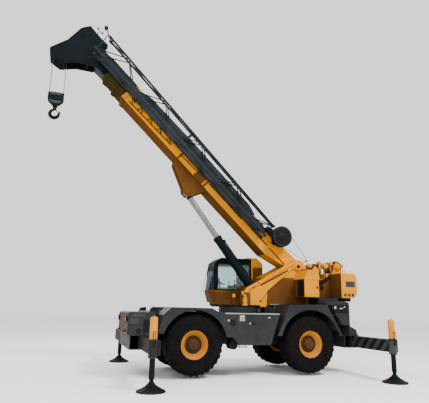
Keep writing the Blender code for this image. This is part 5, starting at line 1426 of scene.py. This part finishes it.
# Sections that slide: wear pad covers on each collar
def collarTrim():
    place = boomPlace()
    half, low, high, end = boom["half"], boom["low"], boom["high"], boom["end"]
    for name in ("boom_mid", "boom_inner"):
        half, low = half - boom["step"], low + boom["step"]
        high, end = high - boom["step"], end + boom["shows"]
        reach, s = half + boom["lip"], end - boom["collar"] / 2
        made = []
        for t in (low + 0.1, (low + high) / 2, high - 0.1):
            cover = block((s - 0.045, s + 0.045), (reach - 0.002, reach + 0.01), (t - 0.045, t + 0.045),
                          0.003, place)
            nuts = bolts([(s + x, reach + 0.01, t + z) for x in (-0.028, 0.028) for z in (-0.028, 0.028)],
                         (0, 1, 0), 0.008, 0.009, place)
            made += [cover, nuts, mirrored(cover), mirrored(nuts)]
        for y in (-0.16, 0.16):
            made += [
                block((s - 0.045, s + 0.045), (y - 0.06, y + 0.06),
                      (high + boom["lip"] - 0.002, high + boom["lip"] + 0.01), 0.003, place),
                bolts([(s + x, y + w, high + boom["lip"] + 0.01) for x in (-0.028, 0.028)
                       for w in (-0.04, 0.04)], (0, 0, 1), 0.008, 0.009, place),
            ]
        finishPiece("collar_pads_" + name, made, "olivePaint", name)


# Boom head
def headTrim():
    place, face = boomPlace(), 0.27
    made = []
    for s, t in ((11.76, 0.07), (11.57, -1.27)):
        cap = turned([(face - 0.002, 0.0), (face - 0.002, 0.125), (face + 0.014, 0.125),
                      (face + 0.018, 0.115), (face + 0.018, 0.085), (face + 0.036, 0.08),
                      (face + 0.036, 0.0)], 28, (s, 0, t), "Y", place)
        nuts = bolts([(s + a, face + 0.016, t + b) for a, b in circle(8, 0.102)], (0, 1, 0), 0.01, 0.01,
                     place)
        made += [cap, nuts, mirrored(cap), mirrored(nuts)]
    rim = [
        (10.7, 0.1), (11.16, 0.38), (11.86, 0.4), (11.975, 0.1), (11.885, -0.6), (11.99, -1.3),
        (11.78, -1.47), (11.41, -1.4), (11.11, -0.93), (10.7, -0.53),
    ]
    for first, second in zip(rim, rim[1:]):
        edge = bar((first[0], face + 0.004, first[1]), (second[0], face + 0.004, second[1]), 0.014, 8,
                   place=place)
        made += [edge, mirrored(edge)]
    for s, t, wide in ((11.05, -0.2, 0.1), (11.45, -0.42, 0.12), (11.62, -0.85, 0.08)):
        hatch = turned([(face - 0.002, wide), (face + 0.01, wide), (face + 0.01, wide - 0.018),
                        (face - 0.002, wide - 0.018)], 24, (s, 0, t), "Y", place)
        made += [hatch, mirrored(hatch)]
    for s, t in ((11.99, 0.22), (11.62, 0.4), (11.85, -1.46), (11.3, -1.34)):
        made.append(bar((s, -face + 0.01, t), (s, face - 0.01, t), 0.016, 12, place=place))
    made += [
        bar((11.5, 0.2, 0.42), (11.58, 0.2, 0.62), 0.012, 10, place=place),
        bar((11.46, 0.2, 0.62), (11.7, 0.2, 0.62), 0.009, 10, place=place),
    ]
    for s in (11.46, 11.7):
        made.append(bar((s, 0.2, 0.6), (s, 0.2, 0.66), 0.03, 14, place=place))
    made += [
        block((10.98, 11.22), (-0.1, 0.16), (0.4, 0.5), 0.012, place),
        tube([(10.72, 0.2, 0.02), (10.86, 0.3, 0.12), (11.05, 0.31, 0.3), (11.1, 0.24, 0.42)], 0.012,
             8, place),
    ]
    finishPiece("head_fittings", made, "darkPaint", "boom_tip")
    marks = []
    for s, t in ((10.82, -0.34), (10.95, -0.46)):
        marks.append(block((s, s + 0.05), (face + 0.002, face + 0.01), (t, t + 0.03), 0.003, place))
    finishPiece("head_marks", marks, "olivePaint", "boom_tip")


# Swingaway jib and cable reel
def jibTrim():
    place = boomPlace()
    made = []
    for s in (2.02, 3.02, 8.62, 10.55):
        made += [
            block((s, s + 0.1), (0.515, 0.6), (-0.4, -0.25), 0.01, place),
            bar((s + 0.05, 0.5, -0.325), (s + 0.05, 0.66, -0.325), 0.028, 14, place=place),
        ]
    for s in (4.1, 5.6, 7.1):
        made.append(block((s, s + 0.05), (0.618, 0.628), (-0.35, -0.08), 0.004, place))
    made += [
        block((2.35, 9.05), (0.616, 0.63), (-0.368, -0.34), 0.004, place),
        block((3.1, 8.4), (0.616, 0.626), (-0.092, -0.072), 0.004, place),
    ]
    for s, y, t in ((1.8, 0.6, 0.28), (1.8, 0.8, 0.24), (1.8, 0.56, -0.3), (1.8, 0.8, -0.26),
                    (10.86, 0.6, 0.455), (10.86, 0.92, 0.415), (10.86, 0.56, -0.34), (10.86, 0.92, -0.3)):
        made.append(bar((s - 0.05, y, t), (s + 0.05, y, t), 0.055, 16, place=place))
    made += [
        bar((10.78, 0.56, 0.44), (10.78, 0.94, 0.42), 0.03, 12, place=place),
        bar((10.78, 0.54, -0.34), (10.78, 0.94, -0.3), 0.03, 12, place=place),
        bar((10.86, 0.76, 0.42), (11.3, 0.76, 0.62), 0.02, 12, place=place),
        bar((10.86, 0.76, -0.3), (11.05, 0.76, 0.5), 0.02, 12, place=place),
        turned([(-0.035, 0.0), (-0.035, 0.075), (-0.012, 0.06), (0.012, 0.06), (0.035, 0.075),
                (0.035, 0.0)], 24, (11.3, 0.76, 0.62), "Y", place),
        block((6.3, 6.4), (0.58, 0.66), (0.02, 0.34), 0.006, place),
        plate([(2.65, -0.06), (8.95, -0.06), (8.62, 0.1), (8.3, 0.185), (6.1, 0.23), (2.95, 0.215),
               (2.55, 0.1)], 0.53, 0.552, 0.004, place),
    ]
    for s in (3.6, 4.85, 6.1, 7.35):
        made.append(block((s, s + 0.04), (0.55, 0.572), (-0.05, 0.19), 0.004, place))
    made.append(plate([(9.02, -0.33), (10.74, -0.335), (10.74, 0.02), (10.3, 0.1), (9.02, 0.1)], 0.535,
                      0.552, 0.004, place))
    for s in (9.3, 9.85, 10.4):
        made.append(block((s, s + 0.04), (0.55, 0.572), (-0.31, 0.07), 0.004, place))
    finishPiece("jib_fittings", made, "jibPaint", "boom_base")
    # Painted highlight: pale grey lines along the outer side of the jib's two chords
    lit = []
    for (s, y, t), (s2, y2, t2) in (((1.8, 0.843, -0.26), (10.85, 0.963, -0.3)),
            ((1.8, 0.843, 0.24), (10.85, 0.963, 0.42))):
        lit.append(bar((s, y, t), (s2, y2, t2), 0.007, 8, place=place))
    finishPiece("jib_highlights", lit, "greyPaint", "boom_base")


def reelTrim():
    place = boomPlace()
    spot, outside = place @ Matrix.Translation((1.29, 0, 0.23)), 0.8
    coils = [(0.652, 0.3)]
    for index in range(5):
        at = 0.654 + index * 0.0184
        coils += [(at, 0.335), (at + 0.005, 0.345), (at + 0.013, 0.345), (at + 0.0184, 0.335)]
    coils.append((0.748, 0.3))
    winding = turned(coils, 48, place=spot)
    finishPiece("reel_cable_layers", winding, "blackPlastic", "boom_base", 25)
    made = [
        turned([(outside - 0.004, 0.392), (outside + 0.006, 0.392), (outside + 0.008, 0.38),
                (outside + 0.006, 0.362), (outside - 0.004, 0.36)], 48, place=spot),
        turned([(outside - 0.004, 0.15), (outside + 0.01, 0.15), (outside + 0.014, 0.13),
                (outside + 0.04, 0.1), (outside + 0.05, 0.07), (outside + 0.05, 0.0)], 32, place=spot),
    ]
    for index in range(8):
        turn = spot @ Matrix.Rotation(index * pi / 4 + 0.2, 4, "Y")
        made.append(block((0.13, 0.372), (outside - 0.003, outside + 0.012), (-0.016, 0.016), 0.004, turn))
    made += [
        bolts([(a, outside + 0.014, b) for a, b in circle(6, 0.125)], (0, 1, 0), 0.01, 0.01, spot),
        plate([(1.2, 0.1), (1.38, 0.1), (1.36, 0.3), (1.22, 0.3)], 0.42, 0.45, 0.006, place),
        plate([(1.55, 0.02), (1.95, 0.02), (1.9, 0.2), (1.62, 0.26)], 0.4, 0.58, 0.014, place),
    ]
    finishPiece("reel_spokes", made, "blackPlastic", "boom_base")
    grey = turned([(outside + 0.004, 0.355), (outside + 0.007, 0.355), (outside + 0.007, 0.34),
                   (outside + 0.004, 0.34)], 48, place=spot)
    finishPiece("reel_edge", grey, "plateGrey", "boom_base")
    stalk = [
        tube([(1.1, 0.7, 0.535), (0.6, 0.66, 0.505), (0.1, 0.56, 0.47), (-0.11, 0.5, 0.445)], 0.009, 8,
             place),
        bar((-0.02, 0.34, 0.1), (-0.11, 0.48, 0.43), 0.01, 10, place=place),
        bar((-0.11, 0.47, 0.445), (-0.11, 0.53, 0.445), 0.026, 16, place=place),
    ]
    finishPiece("reel_line", stalk, "darkPaint", "boom_base")


# Lift cylinder
def liftTrim():
    foot = Vector((-0.9, 0, 2.38))
    head = onBoom(4.9, 0, -1.12) - Vector((layout["shiftX"], 0, 0))
    span = head - foot
    lean = Matrix.Rotation(-span.angle(Vector((1, 0, 0))), 4, "Y")
    place = Matrix.Translation((atX(foot.x), 0, foot.z)) @ lean
    reach = 0.155
    made = [
        turned([(-0.13, reach - 0.01), (-0.13, reach + 0.012), (-0.11, reach + 0.016),
                (-0.04, reach + 0.016), (-0.02, reach + 0.008), (0.0, 0.125), (0.012, 0.12),
                (0.012, 0.108)], 32, (2.95, 0, 0), "X", place),
        turned([(0.0, reach - 0.004), (0.0, reach + 0.01), (0.05, reach + 0.01), (0.05, reach - 0.004)],
               32, (0.34, 0, 0), "X", place),
        bolts([(2.94, a, b) for a, b in circle(12, 0.145)], (1, 0, 0), 0.009, 0.012, place),
        block((0.4, 0.56), (-0.05, 0.05), (reach - 0.01, reach + 0.075), 0.01, place),
        block((2.6, 2.72), (-0.04, 0.04), (reach - 0.01, reach + 0.055), 0.01, place),
    ]
    for y in (-0.022, 0.022):
        made.append(tube([(0.5, y, reach + 0.06), (0.62, y, reach + 0.062), (1.6, y, reach + 0.03),
                          (2.5, y, reach + 0.03), (2.62, y, reach + 0.04)], 0.012, 8, place))
    for s in (1.1, 1.9):
        made.append(block((s, s + 0.05), (-0.045, 0.045), (reach - 0.006, reach + 0.05), 0.005, place))
    for y in (-0.145, 0.145):
        made.append(bar((0, y - 0.012, 0), (0, y + 0.012, 0), 0.085, 24, place=place))
    finishPiece("lift_barrel_fittings", made, "darkPaint", "lift_barrel")
    length = span.length
    eye = [bar((length, y - 0.006, 0), (length, y + 0.006, 0), 0.085, 24, place=place)
           for y in (-0.132, 0.132)]
    eye.append(turned([(0.0, 0.1055), (0.0, 0.118), (0.06, 0.118), (0.1, 0.11), (0.1, 0.1055)], 28,
                      (length - 0.26, 0, 0), "X", place))
    finishPiece("lift_rod_eye", eye, "darkPaint", "lift_rod")


# Hook block and hook
hookShape = {
    "middle": -0.815, "bow": 0.15, "thick": 0.064,
    "nuts": ((-0.2, -0.14), (0.2, -0.14), (-0.2, -0.33), (0.2, -0.33), (-0.09, -0.43), (0.09, -0.43)),
    "swell": [0.55, 0.58, 0.66, 0.8, 0.94, 1, 1, 1, 1, 1, 0.96, 0.86, 0.72, 0.4],
}


def hookTrim():
    sheave = onBoom(11.57, 0, -1.27)
    low = sheave.z - 1.302
    place = Matrix.Translation((sheave.x, 0, low))
    made = []
    for way in (1, -1):
        ring = turned([(way * 0.108, 0.0), (way * 0.108, 0.085), (way * 0.122, 0.085), (way * 0.128, 0.07),
                       (way * 0.135, 0.0)], 24, (0, 0, -0.24), "Y", place)
        made += [
            ring,
            bolts([(x, way * 0.11, z) for x, z in hookShape["nuts"]], (0, way, 0), 0.014, 0.012, place),
        ]
    made += [
        turned([(-0.66, 0.0), (-0.66, 0.058), (-0.62, 0.066), (-0.56, 0.066), (-0.53, 0.05), (-0.53, 0.0)],
               24, (0, 0, 0), "Z", place),
        plate([(-0.03, -0.64), (-0.062, -0.665), (-0.15, -0.745), (-0.14, -0.762), (-0.04, -0.69)], -0.014,
              0.014, 0.003, place),
    ]
    finishPiece("hook_fittings", made, "darkPaint", "hook")
    # Forged hook: a swept bar, thick in the bowl and thin at its tip
    middle, bow = hookShape["middle"], hookShape["bow"]
    path = [(0, 0, -0.62), (0, 0, -0.655), (0.05, 0, -0.672)]
    path += [(bow * sin(radians(a)), 0, middle + bow * cos(radians(a))) for a in range(50, 286, 25)]
    path.append((-1.22 * bow, 0, middle + 0.62 * bow))
    forged = tube(path, hookShape["thick"], 20, place, hookShape["swell"])
    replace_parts(finishPiece("hook_forged", forged, "darkPaint", "hook", 60), "hook")
    faces = []
    for way in (1, -1):
        ends = sorted((way * 0.108, way * 0.116))
        faces += [
            plate([(-0.15, -0.03), (0.15, -0.03), (0.225, -0.115), (-0.225, -0.115)], *ends, 0.003,
                  place),
            plate([(-0.245, -0.345), (0.245, -0.345), (0.112, -0.445), (-0.112, -0.445)], *ends, 0.003,
                  place),
        ]
    finishPiece("hook_plates", faces, "plateGrey", "hook")


# Hoist rope: over each moving joint in a piece of its own
def ropeTrim():
    first = onBoom(0.95, 0, 0.3)
    drum = Vector((atX(-3.02), 0, 3.6))
    start = drum + Vector((0.02, 0, 0.268))
    made = bar(start, first, 0.0105, 10, place=None)
    made.name = "hoist_rope_drum"
    made.data.materials.append(materials["steelRope"])
    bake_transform(made)
    spans = (("boom_base", "boom_mid", 0.95, 9.15, 9.55), ("boom_mid", "boom_inner", 9.55, 9.6, 10.05),
             ("boom_inner", "boom_tip", 10.05, 10.1, 10.6))
    for index, (near, far, begin, leave, end) in enumerate(spans):
        link = bar(onBoom(begin, 0, 0.3), onBoom(end, 0, 0.3), 0.0105, 10, place=None)
        link.name = "hoist_rope_span" + str(index + 1)
        link.data.materials.append(materials["steelRope"])
        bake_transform(link)
    tail = tube([(10.6, 0, 0.3), (11.4, 0, 0.305), (11.76, 0, 0.313), (11.93, 0, 0.24), (12.0, 0, 0.07),
                 (11.96, 0, -0.4), (11.85, 0, -1.05), (11.82, 0, -1.27)], 0.0105, 10, boomPlace())
    finishPiece("hoist_rope_head", tail, "steelRope", "boom_tip")


def makeBoom():
    boomTrim()
    collarTrim()
    headTrim()
    jibTrim()
    reelTrim()
    liftTrim()
    hookTrim()
    ropeTrim()
    print("boom done")


makeCamera()
makeStudio()
makeMaterials()
dressNodes()
makeWheels()
makeCarrier()
makeUpper()
makeBoom()
